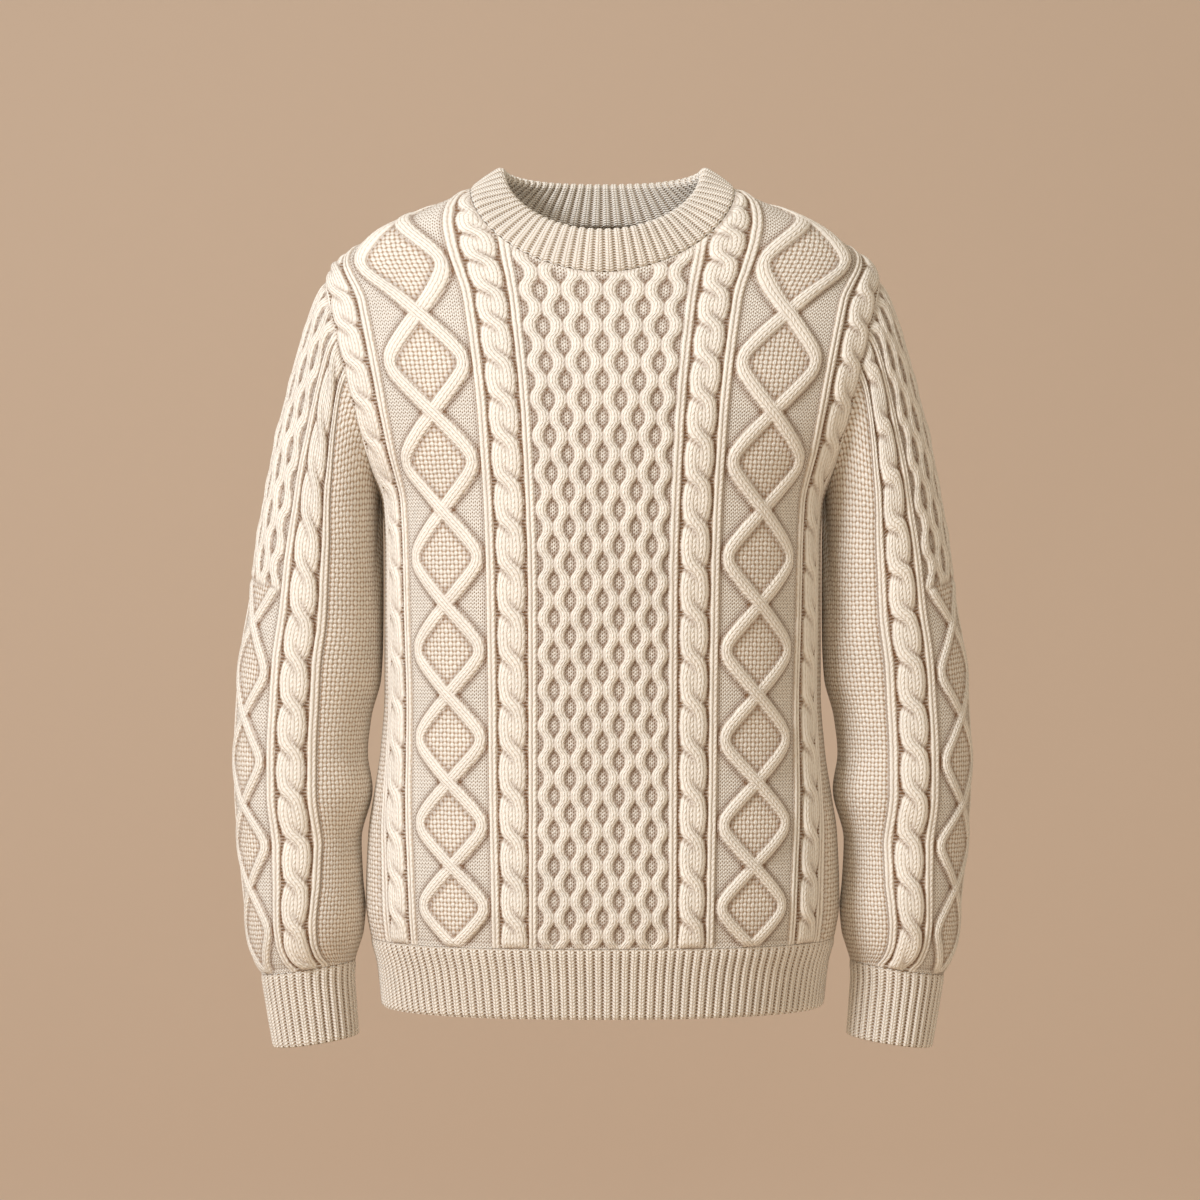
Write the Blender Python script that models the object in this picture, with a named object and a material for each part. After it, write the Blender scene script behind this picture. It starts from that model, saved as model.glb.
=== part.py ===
"""Cable knit sweater, filled out as if worn: nine knitted pieces with raised cables and ribs.

Sizes are in millimetres and are turned to metres where a point becomes a vertex. +Z is up, the front
faces -Y and the wearer's left is +X. The origin lies midway between the two neck points of the
shoulders. Every piece is a wall of cloth: a plain inner sheet, and an outer sheet that is raised into
honeycomb, ropes, diamonds and ribs. Neighbouring pieces end at a shared plane, a seam gap apart.
"""

import math

import bmesh
import bpy
import numpy as np

MM = 0.001
FRONT = -1
BACK = 1

# Cloth
WALL = 2.6
SEAM_GAP = 0.3
SEAM_FADE = 5.0
RIDGE_FADE = 9.0
RIDGE_RUN = 9.0
HEM_SEAM = -618.0
HEM_EDGE = -675.0
TOP_ROW = 6.0

# Raised stitch patterns: height above the purl ground
HONEYCOMB_RISE = 3.8
ROPE_RISE = 4.4
DIAMOND_RISE = 3.6
RIB_RISE = 2.0
MOSS_RISE = 0.9
GROUND = 0.2

# Body and sleeve ribbing
HEM_RIBS = 72
CUFF_RIBS = 33
NECK_RIBS = 64
WELT_RISE = 1.4

# Torso: level sections, superellipses with a front and a back half
TORSO_COLUMNS = ("height", "half_width", "front_depth", "back_depth", "squareness")
TORSO = np.array([
    (-676, 181.0, 119, 117, 2.30),
    (-640, 185.0, 124, 121, 2.35),
    (-614, 191.5, 129, 125, 2.40),
    (-589, 195.0, 132, 126, 2.40),
    (-533, 193.0, 130, 120, 2.40),
    (-502, 188.5, 128, 116, 2.40),
    (-465, 183.0, 127, 113, 2.40),
    (-415, 179.5, 127, 112, 2.40),
    (-300, 179.5, 129, 115, 2.40),
    (-262, 181.5, 128, 117, 2.35),
    (-215, 207.0, 125, 117, 2.30),
    (-170, 232.0, 118, 113, 2.25),
    (-130, 243.0, 106, 106, 2.20),
    (-100, 239.0, 95, 97, 2.20),
    (-78, 229.5, 87, 88, 2.20),
    (-60, 217.0, 80, 80, 2.15),
    (-40, 193.0, 73, 71, 2.10),
    (-20, 153.0, 66, 62, 2.10),
    (-10, 131.0, 63, 58, 2.05),
    (0, 109.6, 59, 54, 2.00),
    (10, 90.0, 55, 50, 2.00),
])

# Fabric across half a panel, from the centre line to the side seam
HONEYCOMB_EDGE = 51.5
ROPE_IN = 73.0
DIAMOND_MIDDLE = 130.0
DIAMOND_EDGE = 36.0
ROPE_SIDE = 190.5
MOSS_START = 207.0
SIDE_SEAM = 252.0
CELL = 25.75
ROPE_RADIUS = 12.5
RIB_CREST = 17.0

# How the columns fan out over the chest and shoulders, and draw in to the hem
FAN_COLUMNS = ("height", "honeycomb_stretch", "outer_stretch")
FAN = np.array([
    (-618, 1.00, 0.88),
    (-553, 1.00, 0.91),
    (-486, 1.00, 0.95),
    (-412, 1.00, 0.97),
    (-340, 1.00, 1.00),
    (-205, 1.09, 1.03),
    (-98, 1.29, 1.10),
    (-55, 1.43, 1.27),
    (-30, 1.50, 1.33),
    (10, 1.55, 1.35),
])

# Courses of each pattern on the body: height of the first one, its pitch, and the pitch's growth
HONEYCOMB_COURSES = (-607.0, 27.3, 0.075)
DIAMOND_COURSES = (-617.2, 62.55, 1.45)
ROPE_COURSES = (-599.6, 38.1, -0.244)

# Armhole: a tilted flat cut from the shoulder point to the underarm
SHOULDER_POINT = (228.6, -78.0)
UNDERARM = (182.0, -262.0)

# Neckline: superellipses in front view, and the band's upper edge
NECK_HALF_WIDTH = 109.6
NECK_DROP = {FRONT: 76.4, BACK: 21.0}
NECK_SQUARENESS = {FRONT: 1.85, BACK: 2.2}
BAND_TOP_HALF_WIDTH = 84.0
BAND_TOP_DEPTH = {FRONT: 84.0, BACK: 62.0}
BAND_TOP_SIDE = 18.0
BAND_TOP_DROP = {FRONT: 66.0, BACK: 9.0}
BAND_TOP_ROUND = 0.1
BAND_THICKNESS = 6.4

# Sleeve: rings that each lie in a plane along Y, from the outer to the inner edge of the arm
SLEEVE_COLUMNS = ("outer_x", "outer_z", "inner_x", "inner_z", "half_depth", "shift_y", "armhole_share")
SLEEVE = np.array([
    (203.0, -46.0, 182.2, -232.0, 64, 0.0, 1.00),
    (228.6, -78.0, 182.0, -262.0, 64, 0.0, 1.00),
    (236.5, -92.0, 182.6, -270.0, 64, 0.0, 0.97),
    (245.0, -116.0, 182.8, -278.0, 64, 0.0, 0.90),
    (253.0, -143.0, 182.8, -286.0, 64, -0.5, 0.80),
    (260.5, -172.0, 182.8, -296.0, 63, -1.0, 0.66),
    (268.5, -203.0, 182.8, -308.0, 62, -1.5, 0.50),
    (276.0, -243.0, 182.8, -324.0, 61, -2.0, 0.32),
    (284.5, -291.0, 182.8, -346.0, 60, -3.0, 0.14),
    (290.5, -338.0, 183.0, -374.0, 59, -4.5, 0.04),
    (297.5, -380.0, 184.5, -404.0, 58, -6.0, 0.0),
    (301.5, -425.0, 192.5, -437.0, 56, -8.0, 0.0),
    (303.0, -465.0, 195.5, -467.0, 56, -9.5, 0.0),
    (302.5, -500.0, 191.5, -497.0, 57, -10.5, 0.0),
    (299.5, -540.0, 200.5, -538.0, 53, -12.0, 0.0),
    (296.0, -575.0, 199.0, -571.0, 53, -13.0, 0.0),
    (293.0, -602.0, 197.0, -594.0, 52, -13.5, 0.0),
    (290.5, -622.0, 198.5, -613.0, 48, -14.0, 0.0),
    (286.0, -638.0, 202.5, -627.0, 42, -14.5, 0.0),
    (281.0, -647.0, 205.0, -635.5, 37, -15.0, 0.0),
    (278.5, -660.0, 206.5, -649.0, 35, -15.0, 0.0),
    (274.5, -684.0, 205.0, -673.0, 33.5, -15.5, 0.0),
    (270.0, -709.0, 203.0, -699.0, 33, -16.0, 0.0),
])
ROPE_LINE_SHARE = 0.43
SLEEVE_COLUMN = 33.0
SLEEVE_COLUMN_EDGE = 27.0
SLEEVE_ROPE = 82.0
SLEEVE_MOSS = 104.0
SLEEVE_ROUND = 360.0
SLEEVE_CELL = 26.0
SLEEVE_TOP = -132.0
CUFF_SEAM = -643.5
CUFF_EDGE = -705.5
SLEEVE_HONEYCOMB_END = -340.0
SLEEVE_HONEYCOMB_COURSES = (-340.0, 28.5, 0.0)
SLEEVE_DIAMOND_COURSES = (-642.0, 68.0, 0.0)
SLEEVE_ROPE_COURSES = (-606.0, 36.2, 0.0)
SLEEVE_DIAMOND = (20.0, 5.5)
BODY_DIAMOND = (28.0, 7.0)

# How the sleeve's columns draw in towards the cuff
DRAW_IN = np.array([(-645, 0.76), (-610, 0.86), (-575, 0.95), (-540, 1.0), (-100, 1.0)])

COLOURS = {
    "front": (0.80, 0.72, 0.60),
    "back": (0.77, 0.69, 0.57),
    "sleeve_left": (0.79, 0.71, 0.59),
    "sleeve_right": (0.79, 0.71, 0.59),
    "neckband": (0.81, 0.74, 0.62),
    "hem_front": (0.78, 0.70, 0.58),
    "hem_back": (0.75, 0.67, 0.55),
    "cuff_left": (0.78, 0.70, 0.58),
    "cuff_right": (0.78, 0.70, 0.58),
}
WOOL_ROUGHNESS = 0.9


# ---------------------------------------------------------------- curves and tables


def curve_through(heights, values):
    """A smooth curve through the rows of a table that never overshoots them."""
    steps = np.diff(heights)
    rises = np.diff(values) / steps
    slopes = np.zeros(len(heights))
    turning = rises[:-1] * rises[1:]
    same = turning > 0
    slopes[1:-1][same] = 2 * turning[same] / (rises[:-1] + rises[1:])[same]
    slopes[0], slopes[-1] = rises[0], rises[-1]

    def value(at):
        at = np.clip(at, heights[0], heights[-1])
        i = np.clip(np.searchsorted(heights, at, side="right") - 1, 0, len(heights) - 2)
        t = (at - heights[i]) / steps[i]
        rest = 1 - t
        start = (1 + 2 * t) * rest**2 * values[i] + t * rest**2 * steps[i] * slopes[i]
        end = t**2 * (3 - 2 * t) * values[i + 1] - t**2 * rest * steps[i] * slopes[i + 1]
        return start + end

    return value


def table_curves(rows, names):
    """One smooth curve for each named column of a table whose first column is the height."""
    return {name: curve_through(rows[:, 0], rows[:, i + 1]) for i, name in enumerate(names[1:])}


def course(number, courses):
    """Height of a pattern's course: its pitch grows a little from one course to the next."""
    start, pitch, growth = courses
    return start + pitch * number + growth * number**2


def course_numbers(low, high, courses, phases):
    """The course numbers, at some phases of every pitch, that lie between two heights."""
    numbers = (np.arange(-3, 40)[:, None] + np.array(phases)).ravel()
    heights = course(numbers, courses)
    return numbers[(heights > low) & (heights < high)]


TORSO_CURVES = table_curves(TORSO, TORSO_COLUMNS)
FAN_CURVES = table_curves(FAN, FAN_COLUMNS)


# ---------------------------------------------------------------- torso surface

LEVELS = np.arange(-680.0, 9.0, 3.0)
SHARES = np.linspace(0.0, 1.0, 65)


def quarter_section(height, side):
    """Points at even arc shares from the centre line to the side, and the arc's length."""
    half_width = TORSO_CURVES["half_width"](height)
    depth = TORSO_CURVES["front_depth" if side == FRONT else "back_depth"](height)
    power = 2 / TORSO_CURVES["squareness"](height)
    turn = np.linspace(0, math.pi / 2, 181)
    x = half_width * np.sin(turn) ** power
    y = depth * np.abs(np.cos(turn)) ** power
    y[-1] = 0.0
    arc = np.concatenate([[0], np.cumsum(np.hypot(np.diff(x), np.diff(y)))])
    even = SHARES * arc[-1]
    return np.interp(even, arc, x), np.interp(even, arc, y), arc[-1]


def section_table(side):
    rows = [quarter_section(level, side) for level in LEVELS]
    return tuple(np.array([row[i] for row in rows]) for i in range(3))


SECTIONS = {FRONT: section_table(FRONT), BACK: section_table(BACK)}


def read_table(table, height, share):
    """Reads a table of levels and arc shares between its entries."""
    level = np.clip((height - LEVELS[0]) / (LEVELS[1] - LEVELS[0]), 0, len(LEVELS) - 1.001)
    place = np.clip(share, 0, 1) * (len(SHARES) - 1.001)
    i, j = level.astype(int), place.astype(int)
    a, b = level - i, place - j
    low = table[i, j] * (1 - b) + table[i, j + 1] * b
    high = table[i + 1, j] * (1 - b) + table[i + 1, j + 1] * b
    return low * (1 - a) + high * a


def arc_share(across, height, side):
    """Share of the section's arc at which a column of stitches lies; over 1 is past the ridge."""
    inner = HONEYCOMB_EDGE * FAN_CURVES["honeycomb_stretch"](height)
    outer = inner + (MOSS_START - HONEYCOMB_EDGE) * FAN_CURVES["outer_stretch"](height)
    length = np.interp(height, LEVELS, SECTIONS[side][2])
    middle = inner + (across - HONEYCOMB_EDGE) * FAN_CURVES["outer_stretch"](height)
    moss = outer + (length - outer) * (across - MOSS_START) / (SIDE_SEAM - MOSS_START)
    arc = np.where(across < HONEYCOMB_EDGE, across * inner / HONEYCOMB_EDGE, middle)
    arc = np.where(across > MOSS_START, np.where(length > outer, moss, length + 1), arc)
    return arc / length


def ridge_height(across, side):
    """Height at which a column of stitches meets the shoulder ridge, or infinity if it never does."""
    heights = np.arange(SHOULDER_POINT[1] - 20, TOP_ROW, 0.25)
    shares = arc_share(np.full(len(heights), float(min(across, MOSS_START))), heights, side)
    if shares.max() < 1:
        return math.inf
    return heights[int(np.argmax(shares >= 1))]


def unit(vectors):
    return vectors / np.linalg.norm(vectors, axis=-1, keepdims=True)


def at_edge(height, seam, edge):
    """True on the rows at a rib's seam or at its free edge."""
    return (np.abs(height - seam) < SEAM_GAP) | (height < edge + SEAM_GAP)


def flattened(normals, away, where):
    """Turns the normals of an edge row into that edge's plane, so that both its sides end level."""
    level = normals - np.sum(normals * away, axis=-1, keepdims=True) * away
    return np.where(where[..., None], unit(level), normals)


def torso_point(across, height, side, nominal):
    """(points, normals) of the torso's ground, where across and height are arrays of one shape."""
    ridges = {n: ridge_height(abs(n), side) for n in np.unique(nominal)}
    ridge = np.vectorize(ridges.get)(nominal)
    # A column straightens as it nears the ridge, so that all of its rows end at one point there.
    across = nominal + (across - nominal) * np.clip((ridge - height) / RIDGE_RUN, 0, 1)
    ended = height >= ridge
    height = np.where(ended, ridge, height)
    share = np.where(ended, 1.0, np.clip(arc_share(np.abs(across), height, side), 0, 1))
    return torso_surface(share, height, side, np.where(across < 0, -1.0, 1.0))


def torso_surface(share, height, side, sign):
    """(points, normals) of the torso at shares of the way from the centre line to the side."""
    x_table, y_table, _ = SECTIONS[side]

    def at(level, part):
        x = read_table(x_table, level, part)
        return np.stack([x, side * read_table(y_table, level, part), level + 0 * x], axis=-1)

    place = at(height, share)
    along = at(height, np.clip(share + 0.01, 0, 1)) - at(height, np.clip(share - 0.01, 0, 1))
    up = at(height + 1.5, share) - at(height - 1.5, share)
    normal = np.cross(along, up) * -side
    normal[..., 1] = np.where(share > 0.999, 0.0, normal[..., 1])
    normal = flattened(unit(normal), np.array([0.0, 0.0, 1.0]), at_edge(height, HEM_SEAM, HEM_EDGE))
    place[..., 1] = side * np.maximum(side * place[..., 1], SEAM_GAP / 2)
    # The back is seen from behind, so its columns run the other way.
    mirror = np.stack([sign * -side, 1 + 0 * sign, 1 + 0 * sign], axis=-1)
    return place * mirror, normal * mirror


# ---------------------------------------------------------------- stitch patterns as lattices
#
# A lattice is a dict of arrays: "across" and "height" place each of its points on the cloth,
# "rise" lifts it off the ground, and "nominal" is the straight column that it belongs to.


def lattice(across, height, rise, nominal):
    shape = np.broadcast(across, height, rise).shape
    nominal = np.broadcast_to(nominal, shape)
    return {
        "across": np.broadcast_to(across, shape).astype(float),
        "height": np.broadcast_to(height, shape).astype(float),
        "rise": np.broadcast_to(rise, shape).astype(float),
        "nominal": nominal.astype(float),
    }


def mirrored(grid):
    """The same lattice on the other side of the centre line."""
    flipped = {name: values[:, ::-1].copy() for name, values in grid.items()}
    flipped["across"] *= -1
    flipped["nominal"] *= -1
    return flipped


def with_ends(heights, low, high):
    return np.concatenate([[low], heights, [high]])


def honeycomb(middle, cells, edge, cell, courses, low, high):
    """Hollows in staggered rows; the strands are the ridges between the points where they touch."""
    numbers = course_numbers(low + 4, high - 4, courses, (0, 0.5))
    heights = with_ends(course(numbers, courses), low, high)[:, None]
    steps = np.round(with_ends(numbers, numbers[0] - 0.5, numbers[-1] + 0.5) * 2).astype(int)
    column = np.arange(1, cells * 2)
    offset = (column - cells) * cell / 2
    hollow = (column + steps[:, None]) % 2 == 1
    inside = np.where(hollow, GROUND, HONEYCOMB_RISE)
    # The outermost strand swings out beside a hollow and in beside a touching point.
    swing = np.where(hollow[:, :1], 1.0, -1.0) * cell * 0.11
    outermost = (cells - 0.5) * cell / 2
    crest = HONEYCOMB_RISE + 0 * swing
    ground = GROUND + 0 * swing
    spread = offset + 0 * swing
    across = [-edge + 0 * swing, -outermost - swing, spread, outermost + swing, edge + 0 * swing]
    rise = np.concatenate([ground, crest, inside, crest, ground], axis=1)
    nominal = np.concatenate([[-edge, -outermost], offset, [outermost, edge]])
    return lattice(middle + np.concatenate(across, axis=1), heights, rise, middle + nominal)


def rope(middle, courses, low, high, twist=1):
    """A two-strand rope between two ribs: rows follow its strands and grooves in turn."""
    columns = np.array([-RIB_CREST, -ROPE_RADIUS, -5.0, 5.0, ROPE_RADIUS, RIB_CREST])
    lean = {
        "strand": np.array([0.5, 0.5, 0.17, -0.17, -0.5, -0.5]),
        "groove": np.array([0.5, 0.5, 0.28, -0.28, -0.5, -0.5]),
    }
    lift = {
        "strand": np.array([RIB_RISE, GROUND, ROPE_RISE, ROPE_RISE, GROUND, RIB_RISE]),
        "groove": np.array([RIB_RISE, GROUND, ROPE_RISE / 2, ROPE_RISE / 2, GROUND, RIB_RISE]),
    }
    spread = {"strand": 1.05, "groove": 0.9}
    numbers = course_numbers(low - 45, high + 45, courses, (0, 0.5))
    across, heights, rise = [], [], []
    for number in numbers:
        kind = "strand" if float(number).is_integer() else "groove"
        row = course(number + twist * lean[kind], courses)
        inside = (row > low + 3) & (row < high - 3)
        if not inside.any():
            continue
        heights.append(np.clip(row, low, high))
        across.append(middle + np.where(np.abs(columns) == ROPE_RADIUS, columns * spread[kind], columns))
        rise.append(np.where(inside, lift[kind], 0.0))
    ends = np.ones(len(columns))
    heights = np.array([low * ends, *heights, high * ends])
    across = np.array([middle + columns, *across, middle + columns])
    rise = np.array([0 * ends, *rise, 0 * ends])
    return lattice(across, heights, rise, middle + columns)


def diamonds(middle, size, edge, courses, low, high):
    """Two strands that cross and part again over a purl ground, with moss stitch between them."""
    reach, foot = size
    numbers = course_numbers(low + 6, high - 6, courses, (0, 0.4, 0.6))
    phase = with_ends(numbers, numbers[0] - 0.4, numbers[-1] + 0.4) % 1.0
    heights = with_ends(course(numbers, courses), low, high)[:, None]
    apart = reach * np.minimum((1 - np.abs(2 * phase - 1)) / 0.8, 1)[:, None]
    crossing = apart < 0.1 * reach
    apart = np.maximum(apart, 0.4 * foot)
    inner = np.where(crossing, 0.4 * apart, np.maximum(apart - foot, 0.3 * apart))
    offsets = np.concatenate([inner, apart, apart + foot, edge + 0 * apart], axis=1)
    low_inside = np.where(crossing, 0.7 * DIAMOND_RISE, MOSS_RISE)
    crest = DIAMOND_RISE + 0 * apart
    ground = GROUND + 0 * apart
    rises = np.concatenate([low_inside, crest, ground, ground], axis=1)
    across = np.concatenate([-offsets[:, ::-1], 0 * apart, offsets], axis=1)
    rise = np.concatenate([rises[:, ::-1], low_inside, rises], axis=1)
    half = np.array([0.4 * edge, 0.6 * edge, 0.8 * edge, edge])
    nominal = np.concatenate([-half[::-1], [0], half])
    return lattice(middle + across, heights, rise, middle + nominal)


def moss(across, heights):
    return lattice(across, heights[:, None], MOSS_RISE, across)


def denser(grid, above):
    """Adds a row halfway between each two rows that lie above a height."""
    spots = np.nonzero(grid["height"].min(axis=1)[:-1] > above)[0]
    spots = spots[spots < len(grid["height"]) - 1]
    halfway = {name: (values[spots] + values[spots + 1]) / 2 for name, values in grid.items()}
    return {name: np.insert(values, spots + 1, halfway[name], axis=0) for name, values in grid.items()}


def paired(grid):
    """A lattice and its mirror image, with a rib on the line between them."""
    other = mirrored(grid)
    first = grid["across"][:, :1]
    rib = {"across": 0 * first, "height": grid["height"][:, :1], "rise": 0 * first + RIB_RISE}
    rib["nominal"] = 0 * first
    return {name: np.concatenate([other[name], rib[name], grid[name]], axis=1) for name in grid}


# ---------------------------------------------------------------- sheets of cloth in a mesh


def add_grid(mesh, places, rise=None):
    """A grid of faces whose vertices lie at the given places in mm; returns the vertices.

    With a rise, each face is split along its most level and highest diagonal, so ridges stay whole."""
    rows, columns = places.shape[:2]
    made = bmesh.ops.create_grid(mesh, x_segments=columns - 1, y_segments=rows - 1, size=1.0)
    for vertex, place in zip(made["verts"], places.reshape(-1, 3)):
        vertex.co = place * MM
    vertices = np.array(made["verts"], dtype=object).reshape(rows, columns)
    if rise is not None:
        uphill = np.abs(rise[1:, 1:] - rise[:-1, :-1]) - 0.1 * (rise[1:, 1:] + rise[:-1, :-1])
        downhill = np.abs(rise[1:, :-1] - rise[:-1, 1:]) - 0.1 * (rise[1:, :-1] + rise[:-1, 1:])
        level = uphill <= downhill
        for i in range(rows - 1):
            for j in range(columns - 1):
                ends = (i, j), (i + 1, j + 1)
                if not level[i, j]:
                    ends = (i, j + 1), (i + 1, j)
                bmesh.ops.connect_verts(mesh, verts=[vertices[end] for end in ends])
    return vertices


def add_face(mesh, corners):
    if len(set(corners)) == 3:
        mesh.faces.new(corners)


def zip_edges(mesh, left, right):
    """Joins two rows of (key, vertex) with triangles whose ends have the nearest keys."""
    i, j = 0, 0
    while i < len(left) - 1 or j < len(right) - 1:
        left_step = abs(left[i + 1][0] - right[j][0]) if i < len(left) - 1 else math.inf
        right_step = abs(right[j + 1][0] - left[i][0]) if j < len(right) - 1 else math.inf
        if left_step <= right_step:
            add_face(mesh, (left[i][1], right[j][1], left[i + 1][1]))
            i += 1
        else:
            add_face(mesh, (left[i][1], right[j][1], right[j + 1][1]))
            j += 1


def keyed(keys, vertices):
    return list(zip([float(key) for key in keys], vertices))


class Sheet:
    """Strips laid side by side and zipped into one sheet. A strip is a stack of lattices."""

    def __init__(self, mesh, strips, surface, thickness=0.0, closed=False):
        self.strips = []
        for strip in strips:
            made = []
            for grid in strip:
                places, normals = surface(grid["across"], grid["height"], grid["nominal"])
                lift = (grid["rise"] - thickness)[..., None]
                made.append((grid, add_grid(mesh, places + normals * lift, grid["rise"])))
            for lower, upper in zip(made, made[1:]):
                zip_edges(mesh, self.edge(lower, -1), self.edge(upper, 0))
            self.strips.append(made)
        pairs = list(zip(range(len(strips)), range(1, len(strips))))
        if closed:
            pairs.append((len(strips) - 1, 0))
        for left, right in pairs:
            zip_edges(mesh, self.side(left, -1), self.side(right, 0))

    @staticmethod
    def edge(made, index):
        grid, vertices = made
        return keyed(grid["nominal"][index], vertices[index])

    def row(self, index):
        """The sheet's bottom (0) or top (-1) edge, keyed by the place across."""
        return [point for strip in self.strips for point in self.edge(strip[index], index)]

    def side(self, strip, index):
        """A strip's left (0) or right (-1) edge, keyed by height."""
        return [
            point
            for grid, vertices in self.strips[strip]
            for point in keyed(grid["height"][:, index], vertices[:, index])
        ]


def finish(name, mesh, cutters=()):
    """Welds the mesh, turns its faces out, and adds it to the scene with its cuts."""
    bmesh.ops.remove_doubles(mesh, verts=mesh.verts, dist=0.02 * MM)
    bmesh.ops.dissolve_degenerate(mesh, dist=0.01 * MM, edges=mesh.edges)
    bmesh.ops.recalc_face_normals(mesh, faces=mesh.faces)
    if mesh.calc_volume(signed=True) < 0:
        bmesh.ops.reverse_faces(mesh, faces=mesh.faces)
    data = bpy.data.meshes.new(name)
    mesh.to_mesh(data)
    mesh.free()
    piece = bpy.data.objects.new(name, data)
    bpy.data.collections[GARMENT].objects.link(piece)
    data.materials.append(wool(name))
    for cutter in cutters:
        cut = piece.modifiers.new("Cut by " + cutter.name, "BOOLEAN")
        cut.operation = "DIFFERENCE"
        cut.solver = "EXACT"
        cut.object = cutter
    return piece


def wool(name):
    material = bpy.data.materials.new("wool " + name)
    material.use_nodes = True
    shader = material.node_tree.nodes["Principled BSDF"]
    shader.inputs["Base Color"].default_value = (*COLOURS[name], 1.0)
    shader.inputs["Roughness"].default_value = WOOL_ROUGHNESS
    shader.inputs["Metallic"].default_value = 0.0
    return material


# ---------------------------------------------------------------- seams


def seam_direction():
    """Unit vector from the shoulder point to the underarm, and the outward normal, in XZ."""
    run = np.array(UNDERARM) - np.array(SHOULDER_POINT)
    run /= np.linalg.norm(run)
    return run, np.array([-run[1], run[0]])


def armhole_distance(places, way):
    """Distance from the armhole's plane, out (1) or in (-1); below the underarm, distance from it."""
    run, out = seam_direction()
    flat = np.stack([np.abs(places[..., 0]), places[..., 2]], axis=-1) - np.array(UNDERARM)
    past = np.maximum(flat @ run, 0)
    across = way * (flat @ out)
    return np.where(past > 0, np.hypot(past, across), across)


def neck_distance(places, side):
    """Rough distance outside the neckline."""
    drop, power = NECK_DROP[side], NECK_SQUARENESS[side]
    below = np.maximum(-places[..., 2], 0) / drop
    out = np.abs(places[..., 0]) / NECK_HALF_WIDTH
    reach = (out**power + below**power) ** (1 / power)
    pull = np.where(reach > 0, (out * NECK_HALF_WIDTH + below * drop) / np.maximum(out + below, 0.01), 1)
    return (reach - 1) * pull


def fade(distance, width=SEAM_FADE):
    return np.clip(distance / width, 0, 1)


def neckline(side, turn):
    """Front-view point of the neckline, from the side (0) to the centre (a quarter turn)."""
    power = 2 / NECK_SQUARENESS[side]
    x = NECK_HALF_WIDTH * np.abs(np.cos(turn)) ** power
    return x, -NECK_DROP[side] * np.abs(np.sin(turn)) ** power


def torso_depth(x, height, side):
    """How far the torso's surface lies from the middle plane at a place seen from the front."""
    half_width = TORSO_CURVES["half_width"](height)
    depth = TORSO_CURVES["front_depth" if side == FRONT else "back_depth"](height)
    power = TORSO_CURVES["squareness"](height)
    out = np.clip(np.abs(x) / half_width, 0, 1)
    return depth * (1 - out**power) ** (1 / power)


def neck_curve():
    """The neckline all round, at even steps: two for each rib, from the wearer's left by the front."""
    quarter = np.linspace(0, math.pi / 2, 400)
    halves = []
    for side in (FRONT, BACK):
        x, z = neckline(side, quarter)
        y = side * torso_depth(x, z, side)
        left = np.stack([x, y, z], axis=1)
        right = (left * (-1, 1, 1))[::-1]
        halves.append(np.concatenate([left, right[1:]]))
    loop = np.concatenate([halves[0], halves[1][::-1][1:]])
    arc = np.concatenate([[0], np.cumsum(np.linalg.norm(np.diff(loop, axis=0), axis=1))])
    count = 2 * NECK_RIBS
    even = np.linspace(0, arc[-1], count + 1)[:-1]
    return np.stack([np.interp(even, arc, loop[:, axis]) for axis in range(3)], axis=1)


# ---------------------------------------------------------------- cutters


def hide_cutter(cutter):
    cutter.hide_render = True
    cutter.display_type = "WIRE"
    return cutter


def neck_cutter(side):
    """A prism through the front or back whose lower edge is the neckline."""
    curve = neck_curve()
    half = curve[side * curve[:, 1] >= -1e-6]
    half = half[np.argsort(half[:, 0])]
    outline = [(NECK_HALF_WIDTH, 60.0), (-NECK_HALF_WIDTH, 60.0), (-NECK_HALF_WIDTH, 0.5)]
    outline += [(x, z) for x, _, z in half[1:-1]]
    outline += [(NECK_HALF_WIDTH, 0.5)]
    mesh = bmesh.new()
    near, far = -side * 6.0, side * 200.0
    face = mesh.faces.new([mesh.verts.new((x * MM, near * MM, z * MM)) for x, z in outline])
    pulled = bmesh.ops.extrude_face_region(mesh, geom=[face])
    moved = [item for item in pulled["geom"] if isinstance(item, bmesh.types.BMVert)]
    bmesh.ops.translate(mesh, verts=moved, vec=(0, (far - near) * MM, 0))
    bmesh.ops.recalc_face_normals(mesh, faces=mesh.faces)
    name = "cutter_neck_front" if side == FRONT else "cutter_neck_back"
    data = bpy.data.meshes.new(name)
    mesh.to_mesh(data)
    mesh.free()
    cutter = bpy.data.objects.new(name, data)
    bpy.data.collections[CUTTERS].objects.link(cutter)
    return hide_cutter(cutter)


def armhole_cutter(name, hand, outward):
    """A block with one face on the armhole's plane, half a seam gap over it."""
    run, out = seam_direction()
    width = 400.0
    # The body's block stops just past the underarm, and the sleeve's runs on.
    end = 2.0 if outward else 200.0
    length = 260.0 + end
    way = 1 if outward else -1
    centre = np.array(UNDERARM) + run * (end - length / 2) + way * out * (width / 2 - SEAM_GAP / 2)
    mesh = bmesh.new()
    made = bmesh.ops.create_cube(mesh, size=1.0)
    bmesh.ops.scale(mesh, verts=made["verts"], vec=(width * MM, 400 * MM, length * MM))
    data = bpy.data.meshes.new(name)
    mesh.to_mesh(data)
    mesh.free()
    cutter = bpy.data.objects.new(name, data)
    bpy.data.collections[CUTTERS].objects.link(cutter)
    cutter.location = (hand * centre[0] * MM, 0, centre[1] * MM)
    cutter.rotation_euler = (0, hand * -math.atan2(out[1], out[0]), 0)
    return hide_cutter(cutter)


# ---------------------------------------------------------------- pieces

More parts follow.
